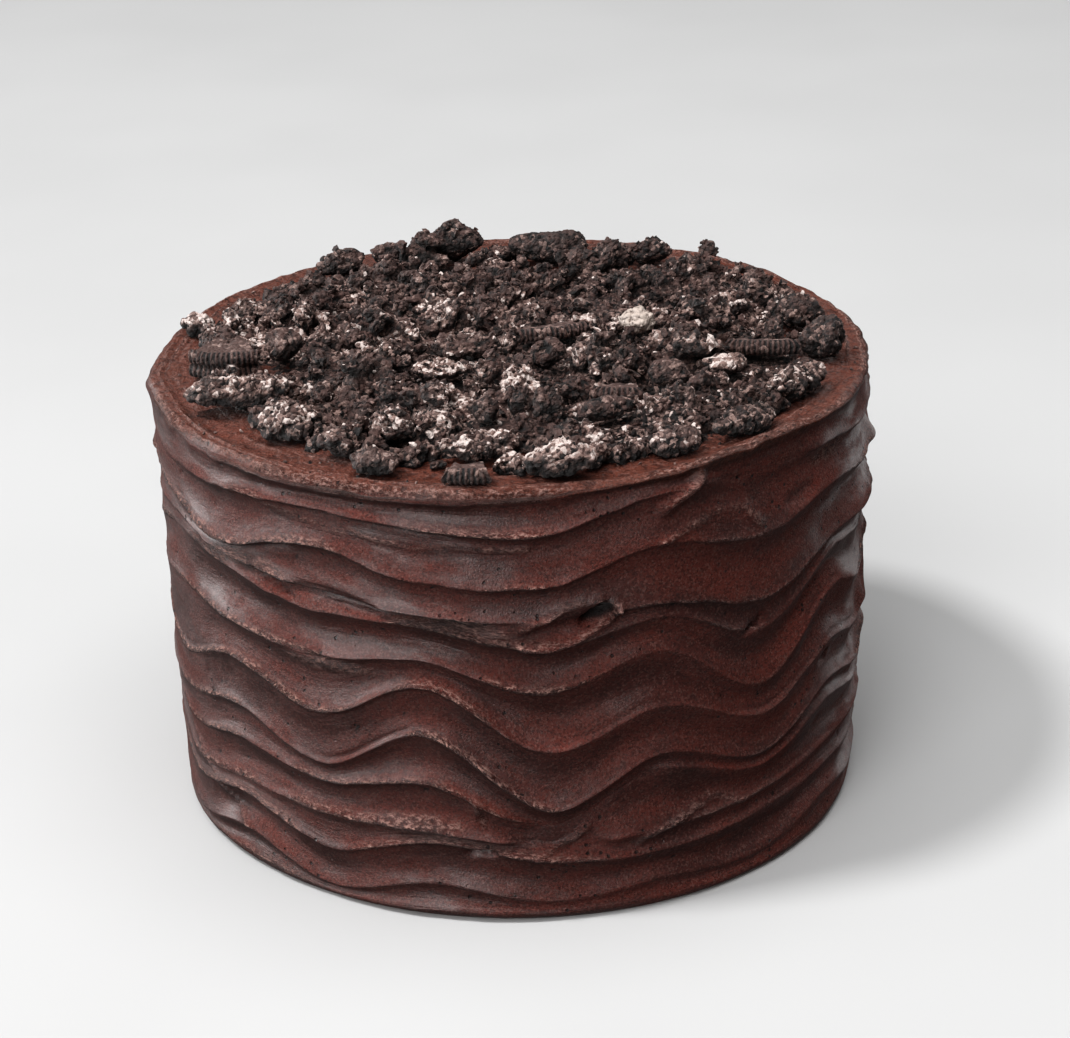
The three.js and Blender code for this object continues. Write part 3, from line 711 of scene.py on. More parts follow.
def top_rows(angles, edge_radius, edge_height):
    """The same for the shoulder and the flat top, from the edge inwards."""
    flat = np.zeros_like(angles)
    shoulder = np.maximum(TOP_LEVEL + RIM_RISE, edge_height + RIM_RISE)
    ragged = np.clip(2.2 * wander(angles, 31, 150) - 0.7, 0, 1)
    rows = []
    for inwards in TOP_STEPS:
        if inwards <= RIM_SLOPE:
            z = mix(edge_height, shoulder, math.sin(math.pi / 2 * inwards / RIM_SLOPE))
        else:
            z = mix(shoulder, TOP_LEVEL, ramp(inwards, RIM_SLOPE, RIM_INNER))
        tear = ragged * math.exp(-(((inwards - 1.2) / 1.1) ** 2)) + 0.2 * wander(angles, 7, 151)
        for i, (start, height) in enumerate(RING_RIDGES):
            place = start + 2.6 * (wander(angles, 11, 310 + i) - 0.5) + 0.8 * wander(angles, 40, 330 + i)
            broken = np.clip(3 * wander(angles, 24, 320 + i) - 1, 0, 1)
            ridge = broken * np.exp(-(((inwards - place) / RING_WIDTH) ** 2))
            z = z + height * ridge
            tear = np.maximum(tear, 0.5 * ridge)
        rows.append((edge_radius - inwards, z + flat, tear, flat + TOP_ACROSS + inwards, flat))
    return rows


def cake_rows(angles):
    """Every grid row from the middle of the base to the middle of the top."""
    flat = np.zeros_like(angles)
    side = side_rows(angles)
    foot_radius = body_radius(angles, flat) - FOOT_INSET
    rows = [(flat, flat, flat, flat, flat)]
    for i in range(FOOT_ROWS):
        share = i / FOOT_ROWS
        radius = mix(foot_radius, side[0][0], math.sin(math.pi / 2 * share))
        rows.append((radius, side[0][1] * share, flat + 0.2, flat - 3 * (1 - share), flat))
    rows += side
    rows += top_rows(angles, side[-1][0], side[-1][1])
    rows.append((flat, flat + TOP_LEVEL, flat, flat + TOP_ACROSS + TOP_STEPS[-1], flat))
    return rows


def surface_gap(angles, z, angle, height):
    """Distance along the side, as across and up in millimetres, from a place to each point."""
    return np.radians(apart(angles, angle)) * TOP_RADIUS, z - height


def dent(angles, z, place, steep=1.0):
    """0 to 1 inside an oval on the side: angle, height, half width, half height and slant."""
    angle, height, half_width, half_height, slant = place
    across, up = surface_gap(angles, z, angle, height)
    c, s = math.cos(math.radians(slant)), math.sin(math.radians(slant))
    along = (across * c + up * s) / half_width
    over = (up * c - across * s) / half_height
    return smooth(np.clip(steep * (1.12 - np.hypot(along, over)), 0, 1))


def thread(angles, z, width, route):
    """0 to 1 along a thread of cream on the side."""
    best = np.full(angles.shape, 99.0)
    for (a0, z0), (a1, z1) in zip(route, route[1:]):
        run = math.radians(a1 - a0) * TOP_RADIUS
        across, up = surface_gap(angles, z, a0, z0)
        share = np.clip((across * run + up * (z1 - z0)) / (run ** 2 + (z1 - z0) ** 2), 0, 1)
        best = np.minimum(best, np.hypot(across - share * run, up - share * (z1 - z0)))
    return np.exp(-((best / width) ** 2))


def small_pits():
    """Air holes scattered round the side, gathered in places."""
    pits = []
    for i in range(SMALL_PITS):
        angle = 360 * float(lot(i, 3.1))
        height = mix(*SMALL_PIT_HEIGHTS, float(lot(i, 5.7)))
        field = (math.floor(angle / PIT_FIELD[0]), math.floor(height / PIT_FIELD[1]))
        if float(lot(*field)) < FIELDS_WITHOUT:
            continue
        width = mix(*SMALL_PIT_WIDTHS, float(lot(i, 9.3)) ** 2)
        pits.append((angle, height, width, SMALL_PIT_DEPTH * width / SMALL_PIT_WIDTHS[1]))
    return pits


def side_detail(angles, z):
    """How far the side stands out from its plain waves, how torn it is, and where holes reach into it."""
    shift = np.zeros_like(z)
    tear = np.zeros_like(z)
    holes = np.zeros_like(z)
    # holes marks the deepest hollows and the pits, where the coat's colour paints shade
    for angle, height, half_width, half_height, depth, slant in HOLLOWS:
        dug = dent(angles, z, (angle, height, half_width, half_height, slant), 1.9)
        shift -= depth * dug
        holes = np.maximum(holes, dug * np.clip(0.3 * depth - 0.35, 0, 1))
    for width, height, route in THREADS:
        line = thread(angles, z, width, route)
        shift += height * line
        tear = np.maximum(tear, 0.6 * line)
    for angle, height, width, depth in PITS + small_pits():
        near = np.abs(apart(angles[0], angle)) < PIT_REACH
        if near.any():
            oval = (angle, height, PIT_OVAL[0] * width, PIT_OVAL[1] * width, 0)
            dug = dent(angles[:, near], z[:, near], oval)
            shift[:, near] -= depth * dug
            holes[:, near] = np.maximum(holes[:, near], dug)
    for angle, height, half_width, half_height in TORN_PATCHES:
        tear = np.maximum(tear, dent(angles, z, (angle, height, half_width, half_height, 0)))
    return shift, tear, holes


def new_object(name, mesh, material, smooth_faces=True):
    piece = bpy.data.objects.new(name, mesh)
    bpy.context.scene.collection.objects.link(piece)
    mesh.materials.clear()
    mesh.materials.append(material)
    mesh.polygons.foreach_set("use_smooth", np.full(len(mesh.polygons), smooth_faces))
    mesh.update()
    return piece


def coordinates(mesh, unit=MM):
    """The places of a mesh's corners, in millimetres or in another unit given in metres."""
    places = np.empty(len(mesh.vertices) * 3, np.float32)
    mesh.vertices.foreach_get("co", places)
    return places.reshape(-1, 3).astype(float) / unit


def put_coordinates(mesh, places):
    mesh.vertices.foreach_set("co", (places * MM).astype(np.float32).ravel())
    mesh.update()


def put_values(mesh, name, values):
    """Stores one number for each corner, for the material to read."""
    attribute = mesh.attributes.new(name, "FLOAT", "POINT")
    attribute.data.foreach_set("value", np.asarray(values, np.float32))


def normals(mesh):
    found = np.empty(len(mesh.vertices) * 3, np.float32)
    mesh.vertices.foreach_get("normal", found)
    return found.reshape(-1, 3).astype(float)


def turned_mesh(name, rows, columns):
    """A closed body of revolution with as many grid rows and columns, and each corner's row and column.

    A corner's height is the number of its row until the true places are put in.
    """
    bm = bmesh.new()
    corners = [bm.verts.new((0 < j < rows - 1, 0, j)) for j in range(rows)]
    edges = [bm.edges.new(pair) for pair in zip(corners, corners[1:])]
    bmesh.ops.spin(
        bm, geom=corners + edges, cent=(0, 0, 0), axis=(0, 0, 1), dvec=(0, 0, 0),
        angle=2 * math.pi, steps=columns, use_merge=True, use_duplicate=False,
    )
    bmesh.ops.remove_doubles(bm, verts=bm.verts, dist=1e-4)
    bmesh.ops.recalc_face_normals(bm, faces=bm.faces)
    mesh = bpy.data.meshes.new(name)
    bm.to_mesh(mesh)
    bm.free()
    places = coordinates(mesh, 1)
    turn = np.degrees(np.arctan2(places[:, 0], -places[:, 1]))
    return mesh, np.round(places[:, 2]).astype(int), np.round(turn * columns / 360).astype(int) % columns


def add(tree, kind, settings=None, **inputs):
    """Adds a node with its settings, and sets each input to a value or links it.

    An input is given by its name with underscores for blanks, or by its number after a letter i. It is
    linked to a socket, or to the first output that a node has in use.
    """
    node = tree.nodes.new("ShaderNode" + kind)
    for key, value in (settings or {}).items():
        setattr(node, key, value)
    for key, value in inputs.items():
        by_number = key[0] == "i" and key[1:].isdigit()
        socket = node.inputs[int(key[1:]) if by_number else key.replace("_", " ")]
        if isinstance(value, bpy.types.Node):
            value = next(output for output in value.outputs if output.enabled)
        if isinstance(value, bpy.types.NodeSocket):
            tree.links.new(value, socket)
        else:
            socket.default_value = value
    return node


def new_material(name):
    """An empty material, its nodes and its object coordinates."""
    material = bpy.data.materials.new(name)
    material.use_nodes = True
    tree = material.node_tree
    tree.nodes.clear()
    return material, tree, add(tree, "TexCoord").outputs["Object"]


def finished(material, **inputs):
    """The same material once its shader is in."""
    shader = add(material.node_tree, "BsdfPrincipled", **inputs)
    add(material.node_tree, "OutputMaterial", Surface=shader)
    return material


def layered(tree, colour_below, layers):
    """One colour over another: for each, the share of it that shows, and the colour."""
    for share, paint in layers:
        colour_below = add(tree, "Mix", COLOURS, i0=share, i6=colour_below, i7=paint)
    return colour_below


def relieved(tree, reliefs):
    """A surface with one relief over another: for each, its height pattern, depth and strength."""
    normal = {}
    for height, depth, strength in reliefs:
        invert = {"invert": depth < 0}
        bump = add(
            tree, "Bump", invert, Height=height, Distance=abs(depth) * MM, Strength=strength, **normal
        )
        normal = {"Normal": bump}
    return bump


def cream_patterns(tree, where, streak):
    """The values stored in the coat and the patterns that its colour, gloss and relief share."""
    seen = {}
    for name in ("torn", "across", "cut"):
        seen[name] = add(tree, "Attribute", {"attribute_name": name}).outputs["Fac"]
    place = add(tree, "SeparateXYZ", Vector=where)
    # Along a stroke these are read from the place on the cake, squeezed, and across it from the
    # distance over the bands, so that they follow the waves without a seam
    for name, along, over, detail, roughness in (
        ("streaks", STREAK_LENGTH, streak / MM, 3.0, 0.6),
        ("flakes", FLAKE_LENGTH, FLAKE_WIDTH, 4.0, 0.8),
        ("patches", PATCH_LENGTH, PATCH_WIDTH, 4.0, 0.6),
    ):
        x = add(tree, "Math", MULTIPLY, i0=place.outputs["X"], i1=1 / (along * MM))
        y = add(tree, "Math", MULTIPLY, i0=place.outputs["Y"], i1=1 / (along * MM))
        z = add(tree, "Math", MULTIPLY, i0=seen["across"], i1=1 / over)
        stroke = add(tree, "CombineXYZ", X=x, Y=y, Z=z)
        seen[name] = add(tree, "TexNoise", Vector=stroke, Scale=1.0, Detail=detail, Roughness=roughness)
    for name, size, detail, roughness in (
        ("cloud", CLOUD, 5.0, 0.65), ("sand", SAND, 2.0, 0.6), ("crust", CRUST, 3.0, 0.6),
        ("swarm", SWARM, 2.0, 0.5), ("drawn", DRAWN, 2.0, 0.5),
    ):
        seen[name] = add(
            tree, "TexNoise", Vector=where, Scale=1 / (size * MM), Detail=detail, Roughness=roughness
        )
    low, high = ((TOP_LEVEL + rise) * MM for rise in TOP_BLEND)
    seen["top"] = add(tree, "MapRange", RISE, Value=place.outputs["Z"], From_Min=low, From_Max=high)
    return seen


def torn_cream(tree, seen):
    """How ragged the cream is, the thin broken lip of dry cream along each crest, painted pale as a
    highlight, and the painted shade at the bottom of the torn places.
    """
    # ragged: where the torn colour shows, aerated cream that is also a painted highlight
    tearing = add(tree, "MapRange", RISE, Value=seen["torn"], From_Min=0.06, From_Max=0.6)
    flaking = add(tree, "MapRange", RISE, Value=seen["flakes"], From_Min=0.46, From_Max=0.64, To_Max=0.85)
    seen["ragged"] = add(tree, "Math", MULTIPLY, i0=tearing, i1=flaking)
    # The crests are CREST_STEP apart in the distance across the strokes
    stray = add(tree, "Math", MULTIPLY_ADD, i0=seen["flakes"], i1=0.5, i2=-0.25)
    strayed = add(tree, "Math", ADD, i0=seen["across"], i1=stray)
    from_crest = add(tree, "Math", {"operation": "PINGPONG"}, i0=strayed, i1=CREST_STEP / 2)
    # A thin pale line along each torn crest: a painted highlight on its dry lip
    line = add(tree, "MapRange", RISE, Value=from_crest, From_Min=0.5, From_Max=0.15)
    torn = add(tree, "MapRange", RISE, Value=seen["torn"], From_Min=0.08, From_Max=0.4)
    broken = add(tree, "MapRange", RISE, Value=seen["flakes"], From_Min=0.46, From_Max=0.58)
    torn_highlight_line = add(tree, "Math", MULTIPLY, i0=line, i1=torn)
    seen["lip"] = add(tree, "Math", MULTIPLY, i0=torn_highlight_line, i1=broken)
    # Painted shade at the bottom of the torn relief, where the flakes are low
    tearing = add(tree, "MapRange", RISE, Value=seen["torn"], From_Min=0.1, From_Max=0.8)
    hollow = add(tree, "MapRange", RISE, Value=seen["flakes"], From_Min=0.47, From_Max=0.36)
    seen["deep"] = add(tree, "Math", MULTIPLY, i0=tearing, i1=hollow)


def air_holes(tree, where, seen):
    """The small air holes, which come in swarms, and the holes and cuts that the mesh has, as masks for the
    painted shade inside them.
    """
    air = add(tree, "TexVoronoi", Vector=where, Scale=1 / (AIR_HOLE * MM))
    lots = add(tree, "SeparateColor", Color=air.outputs["Color"])
    crowd = add(tree, "Math", ADD, i0=lots, i1=seen["swarm"])
    edge = add(tree, "Math", MULTIPLY_ADD, i0=seen["sand"], i1=0.25, i2=air)
    chosen = add(tree, "MapRange", RISE, Value=crowd, From_Min=1.42, From_Max=1.48)
    inside = add(tree, "MapRange", RISE, Value=edge, From_Min=0.42, From_Max=0.26)
    seen["air"] = add(tree, "Math", MULTIPLY, i0=chosen, i1=inside)
    # Painted shade inside the cuts and the deepest hollows that the mesh marks
    uneven_cut = add(tree, "Math", MULTIPLY_ADD, i0=seen["sand"], i1=0.35, i2=seen["cut"])
    large = add(tree, "MapRange", RISE, Value=uneven_cut, From_Min=0.5, From_Max=0.85)
    seen["hole"] = add(tree, "Math", {"operation": "MAXIMUM"}, i0=seen["air"], i1=large)


def cream_colour(tree, where, seen, choice):
    """The cream's colours, from the pressed cream up to the holes in it, with painted shade in the holes,
    cuts and torn hollows, painted light on the top and a painted highlight on the crests.
    """
    cloudy = add(tree, "MapRange", RISE, Value=seen["cloud"], From_Min=0.35, From_Max=0.68, To_Max=0.25)
    light = add(tree, "Math", MULTIPLY_ADD, i0=seen["matt"], i1=0.75, i2=cloudy)
    # The flat top's colour: drier cream, and painted light
    top = add(tree, "Math", MULTIPLY, i0=seen["top"], i1=0.75)
    sugar = add(tree, "TexVoronoi", Vector=where, Scale=1 / (SUGAR * MM))
    lots = add(tree, "SeparateColor", Color=sugar.outputs["Color"])
    dark_grain = add(tree, "MapRange", RISE, Value=lots.outputs[0], From_Min=0.4, From_Max=0.9, To_Max=0.5)
    pale_grain = add(tree, "MapRange", RISE, Value=lots.outputs[1], From_Min=0.6, From_Max=1.0, To_Max=0.14)
    # Painted shade, with crumb dust, in the hollows of the crust on the flat top
    crust_hollow_shade = add(tree, "MapRange", RISE, Value=seen["crust"], From_Min=0.5, From_Max=0.36, To_Max=0.6)
    top_crust_shade = add(tree, "Math", MULTIPLY, i0=seen["top"], i1=crust_hollow_shade)
    # Painted shade at the bottom of the torn places
    deep = add(tree, "Math", MULTIPLY, i0=seen["deep"], i1=0.4)
    # Painted highlight along the crests
    lip = add(tree, "Math", MULTIPLY, i0=seen["lip"], i1=0.85)
    # Painted shade in the holes and cuts
    hole = add(tree, "Math", MULTIPLY, i0=seen["hole"], i1=0.85)
    return layered(tree, choice.dark, (
        (light, choice.light), (top, choice.top), (dark_grain, choice.deep), (pale_grain, choice.torn),
        (top_crust_shade, choice.crust), (deep, choice.deep), (seen["ragged"], choice.torn), (lip, choice.lip),
        (hole, choice.hole),
    ))


def make_buttercream(choice):
    """Chocolate buttercream spread with a palette knife: a satin fat gloss over the smooth bands,
    faint lines along the strokes, air holes with painted shade in them, and a paler, rougher, torn
    edge along each crest, made paler still as a painted highlight."""
    material, tree, where = new_material("palette knifed chocolate buttercream")
    seen = cream_patterns(tree, where, choice.streak)
    torn_cream(tree, seen)
    air_holes(tree, where, seen)
    # Where the knife pressed, the cream is darker and satin. Elsewhere it is matt and redder.
    pressing = add(tree, "Math", MULTIPLY_ADD, i0=seen["flakes"], i1=0.12, i2=seen["patches"])
    seen["matt"] = add(tree, "MapRange", RISE, Value=pressing, From_Min=0.44, From_Max=0.7)
    grit = add(tree, "Math", MULTIPLY_ADD, i0=seen["sand"], i1=0.3, i2=seen["ragged"])
    dullness = add(tree, "Math", MULTIPLY_ADD, i0=seen["matt"], i1=0.7, i2=grit)
    roughness = add(tree, "MapRange", Value=dullness, To_Min=choice.roughness, To_Max=choice.torn_roughness)
    dryness = add(tree, "Math", ADD, i0=seen["matt"], i1=seen["ragged"])
    gloss = add(tree, "MapRange", Value=dryness, To_Min=0.5, To_Max=0.28)
    # The relief: knife lines, grit, crust on the top, torn crests, and air holes that go inwards
    drawn = add(tree, "MapRange", RISE, Value=seen["drawn"], From_Min=0.42, From_Max=0.62)
    lines = add(tree, "Math", MULTIPLY, i0=seen["streaks"], i1=drawn)
    gritty = add(tree, "Math", ADD, i0=seen["matt"], i1=0.5)
    sandy = add(tree, "Math", MULTIPLY, i0=seen["sand"], i1=gritty)
    crust = add(tree, "Math", MULTIPLY, i0=seen["crust"], i1=seen["top"])
    flaky = add(tree, "Math", MULTIPLY, i0=seen["flakes"], i1=seen["torn"])
    rags = add(tree, "Math", MULTIPLY_ADD, i0=seen["lip"], i1=0.6, i2=flaky)
    surface = relieved(tree, (
        (lines, 0.36, 0.8), (sandy, 0.26, 1.0), (crust, 1.6, 1.0), (rags, 1.3, 1.0),
        (seen["air"], -0.5, 1.0),
    ))
    return finished(
        material, Base_Color=cream_colour(tree, where, seen, choice), Roughness=roughness, IOR=1.4,
        Specular_IOR_Level=gloss, Normal=surface,
    )


def make_cookie(choice):
    """Black cocoa cookie, baked dry and broken: matt granules from near black to brown, some of
    them dusted or coated with the sugar filling. The brown that the mesh stores also carries painted shade."""
    material, tree, where = new_material("crushed cocoa cookie")
    tone = add(tree, "Attribute", {"attribute_name": "tone"}).outputs["Fac"]
    coat = add(tree, "Attribute", {"attribute_name": "filling"}).outputs["Fac"]
    cells = add(tree, "TexVoronoi", Vector=where, Scale=1 / (FINE_GRANULE * MM))
    clumps = add(tree, "TexVoronoi", Vector=where, Scale=1 / (GRANULE * MM))
    for granule, filling_share, tone_share in ((cells, 0.6, 0.5), (clumps, 0.35, 0.4)):
        lots = add(tree, "SeparateColor", Color=granule.outputs["Color"])
        coat = add(tree, "Math", MULTIPLY_ADD, i0=lots.outputs[0], i1=filling_share, i2=coat)
        tone = add(tree, "Math", MULTIPLY_ADD, i0=lots.outputs[1], i1=tone_share, i2=tone)
    grain = add(tree, "TexNoise", Vector=where, Scale=1 / (CRUMB_GRAIN * MM), Detail=4.0, Roughness=0.7)
    coat = add(tree, "Math", MULTIPLY_ADD, i0=grain, i1=0.4, i2=coat)
    brown = add(tree, "MapRange", RISE, Value=tone, From_Min=0.2, From_Max=1.2)
    dusted = add(tree, "MapRange", RISE, Value=coat, From_Min=0.82, From_Max=1.15)
    smear = add(tree, "MapRange", RISE, Value=coat, From_Min=1.12, From_Max=1.32)
    layers = ((brown, choice.brown), (dusted, choice.pale), (smear, choice.cream))
    return finished(
        material, Base_Color=layered(tree, choice.dark, layers), Roughness=choice.roughness, IOR=1.45,
        Normal=relieved(tree, ((cells, -0.8, 0.9), (grain, 0.4, 0.9))),
    )


def make_filling(choice):
    """Sugar and fat filling scraped from a cookie: off-white, matt, cracked into small clods."""
    material, tree, where = new_material("sugar cookie filling")
    cells = add(tree, "TexVoronoi", Vector=where, Scale=1 / (SUGAR_CLOD * MM))
    grain = add(tree, "TexNoise", Vector=where, Scale=1 / (SUGAR_GRAIN * MM), Detail=4.0)
    crack = add(tree, "MapRange", RISE, Value=cells, From_Min=0.42, From_Max=0.75)
    dust = add(tree, "MapRange", RISE, Value=grain, From_Min=0.4, From_Max=0.62)
    # Darker in the cracks, where the fine grain is high
    crack_darkening = add(tree, "Math", MULTIPLY, i0=crack, i1=dust)
    return finished(
        material, Base_Color=layered(tree, choice.filling, ((crack_darkening, choice.crack_darkening),)), Roughness=0.6,
        IOR=1.46, Normal=relieved(tree, ((cells, -0.8, 0.9),)),
    )


def cookie_material():
    """The crushed cookie's material, made when it is first asked for."""
    return bpy.data.materials.get("crushed cocoa cookie") or make_cookie(bpy.context.scene.cookie)


def cad_copy(node):
    """A copy of a CAD node's form with its corners joined up."""
    bm = bmesh.new()
    bm.from_mesh(frame["nodes"][node].data)
    bmesh.ops.remove_doubles(bm, verts=bm.verts, dist=0.002 * MM)
    bmesh.ops.recalc_face_normals(bm, faces=bm.faces)
    mesh = bpy.data.meshes.new(node + " copy")
    bm.to_mesh(mesh)
    bm.free()
    return mesh


def even_net(forms, voxel):
    """Several closed forms joined into one skin with an even net of small faces."""
    bm = bmesh.new()
    for form in forms:
        bm.from_mesh(form)
        bpy.data.meshes.remove(form)
    rough = bpy.data.meshes.new("joined forms")
    bm.to_mesh(rough)
    bm.free()
    holder = bpy.data.objects.new("joined forms", rough)
    bpy.context.scene.collection.objects.link(holder)
    net = holder.modifiers.new("Net", "REMESH")
    net.mode = "VOXEL"
    net.voxel_size = voxel * MM
    mesh = bpy.data.meshes.new_from_object(holder.evaluated_get(bpy.context.evaluated_depsgraph_get()))
    bpy.data.objects.remove(holder)
    bpy.data.meshes.remove(rough)
    return mesh


def flat_underside(mesh, level):
    """Cuts a form off flat at a level inside the cake, where nothing shows it, and closes the cut."""
    bm = bmesh.new()
    bm.from_mesh(mesh)
    bmesh.ops.bisect_plane(
        bm, geom=list(bm.verts) + list(bm.edges) + list(bm.faces), dist=0.15 * MM,
        plane_co=(0, 0, level * MM), plane_no=(0, 0, 1), use_snap_center=True, clear_inner=True,
    )
    rim = [edge for edge in bm.edges if edge.is_boundary]
    bmesh.ops.triangle_fill(bm, edges=rim, normal=(0, 0, -1), use_beauty=False)
    bmesh.ops.recalc_face_normals(bm, faces=bm.faces)
    bm.to_mesh(mesh)
    bm.free()


def smeared(places):
    """How much filling is smeared about, from 0 to 1: in clusters, and less towards the back."""
    clusters = bumps(places * (1, 1, 0.5), 11, 5) + 0.7 * bumps(places, 4.6, 9)
    share = mix(1, 0.45, ramp(places[:, 1], 5, 55)) * mix(1, 0.72, ramp(places[:, 0], 0, 50))
    return np.clip(0.15 + 0.38 * clusters, 0, 0.66) * share


def crumble(mesh, filling, pale, crumbly, seed):
    """Breaks a smooth form up into granules, and marks how much filling sticks where and how pale it is,
    with painted shade in the gaps, on faces turned down and near the heap's floor.

    filling is the share of filling at each corner before it is broken up.
    """
    places = coordinates(mesh)
    outward = normals(mesh)
    big, whose = granules(places, GRANULE, seed)
    small, _ = granules(places, FINE_GRANULE, seed + 5)
    lumps = bumps(places, LUMP_SPACING, seed)
    shift = crumbly * (GRANULE_RISE * (big - 0.6) + FINE_RISE * (small - 0.5) + LUMP_RISE * lumps)
    jagged = 2 * lot(np.arange(len(places)) * 0.37, seed) - 1
    put_coordinates(mesh, places + outward * (shift + JAGGED * jagged)[:, None])
    # Painted shade: darker crumb and less filling in the gaps between granules, where hollow is 0, and near
    # the heap's floor; darker crumb on faces turned down
    upward = ramp(outward[:, 2], -0.3, 0.6)
    hollow = ramp(big, 0.15, 0.6)
    raised = ramp(places[:, 2], HEAP_FLOOR, HEAP_FLOOR + 5)
    put_values(mesh, "filling", filling * upward * mix(0.25, 1, hollow) * mix(0.35, 1, raised))
    tone = np.clip(pale * 0.55 + 0.5 * (whose - 0.4), 0, 1) * mix(0.15, 1, upward * hollow)
    put_values(mesh, "tone", tone - 0.4 * (1 - hollow) - 0.35 * (1 - raised))


def grain_shapes(segments, variants, seed):
    """Corners and faces of a few differently broken balls, cut into that many bands, or of 20 faces."""
    bm = bmesh.new()
    if segments:
        bmesh.ops.create_uvsphere(bm, u_segments=2 * segments, v_segments=segments, radius=1)
        bmesh.ops.triangulate(bm, faces=bm.faces)
    else:
        bmesh.ops.create_icosphere(bm, subdivisions=1, radius=1)
    bm.verts.ensure_lookup_table()
    corners = np.array([v.co[:] for v in bm.verts])
    faces = np.array([[v.index for v in f.verts] for f in bm.faces])
    bm.free()
    shapes = []
    for k in range(variants):
        cut = corners.copy()
        for side in range(5):
            down = math.pi * float(lot(seed + k, side))
            round_ = 2 * math.pi * float(lot(seed + k + 0.5, side))
            width = math.sin(down)
            face = np.array([width * math.cos(round_), width * math.sin(round_), math.cos(down)])
            over = np.clip(cut @ face - mix(0.35, 0.7, float(lot(seed + k, side + 0.5))), 0, None)
            cut -= over[:, None] * face
        cut *= (1 + 0.34 * (2 * lot(seed + k, np.arange(len(cut)) + 0.25) - 1))[:, None]
        shapes.append(cut)
    return shapes, faces


def scattered_mesh(name, shapes, faces, grains):
    """One mesh of many grains. Each grain has its place, size, turn, tone and filling."""
    count = len(shapes[0])
    corners = np.empty((len(grains), count, 3))
    for i, grain in enumerate(grains):
        corners[i] = (shapes[i % len(shapes)] * grain["size"] / 2) @ grain["turn"].T + grain["place"]
    indices = (faces[None] + (np.arange(len(grains)) * count)[:, None, None]).reshape(-1, 3)
    mesh = bpy.data.meshes.new(name)
    mesh.vertices.add(len(grains) * count)
    mesh.loops.add(indices.size)
    mesh.polygons.add(len(indices))
    mesh.vertices.foreach_set("co", (corners * MM).astype(np.float32).ravel())
    mesh.loops.foreach_set("vertex_index", indices.astype(np.int32).ravel())
    mesh.polygons.foreach_set("loop_start", np.arange(0, indices.size, 3, dtype=np.int32))
    mesh.update(calc_edges=True)
    for key in ("tone", "filling"):
        put_values(mesh, key, np.repeat([grain[key] for grain in grains], count))
    return mesh


def surface_of(meshes):
    """A tree of the faces of some meshes, to drop crumbs on."""
    bm = bmesh.new()
    for mesh in meshes:
        bm.from_mesh(mesh)
    bmesh.ops.triangulate(bm, faces=bm.faces)
    tree = BVHTree.FromBMesh(bm)
    bm.free()
    return tree


def drop(surface, x, y):
    """Where something dropped at a place in plan comes to lie, in millimetres, and which way is out."""
    spot, normal, _, _ = surface.ray_cast(Vector((x, y, 180)) * MM, Vector((0, 0, -1)))
    if spot is None:
        return None, None
    return np.array(spot[:]) / MM, np.array(normal[:])


def footprints():
    """Middle and half size in plan of every large piece on the heap."""
    found = []
    for node in frame["nodes"]:
        if node.startswith(("cookie_chunk", "wafer_piece", "cream_lump")):
            low, high = (np.array(corner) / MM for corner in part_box(node))
            found.append(((low + high)[:2] / 2, (high - low)[:2] / 2))
    return found


def spot_on_heap(i, seed, inner=0):
    """A place in plan within the heap's edge, and outside a share of the way there."""
    angle = 360 * float(lot(i, seed))
    reach = float(heap_edge(np.array([angle]))[0]) - SPILL_MARGIN
    return in_plan(angle, reach * math.sqrt(mix(inner ** 2, 1, float(lot(i, seed + 0.5)))))


def lump(i, seed, place, size):
    """One broken bit for scattered_mesh: its place, its size each way and its turn."""
    width = mix(*LUMP_WIDTHS, float(lot(i, seed + 2)))
    thickness = mix(*LUMP_THICKNESSES, float(lot(i, seed + 3)))
    a, b, c = (2 * math.pi * float(lot(i, seed + k)) for k in (6, 7, 8))
    turn = np.array(Matrix.Rotation(a, 3, "Z") @ Matrix.Rotation(b, 3, "X") @ Matrix.Rotation(c, 3, "Z"))
    return dict(place=place, size=size * np.array((1, width, thickness)), turn=turn, tone=0, filling=0)


def heap_edge(angles):
    """Radius of the heap's edge, as in the solid."""
    x, y = in_plan(angles, 1)
    u, v = HEAP_WAVES * x / 2, HEAP_WAVES * y / 2
    i, j = np.floor(u), np.floor(v)
    s, t = smooth(u - i), smooth(v - j)
    value = mix(mix(lot(i, j), lot(i + 1, j), s), mix(lot(i, j + 1), lot(i + 1, j + 1), s), t)
    return HEAP_RADIUS + HEAP_WAVER * (2 * value - 1) - HEAP_SET_BACK * np.maximum(0, y)


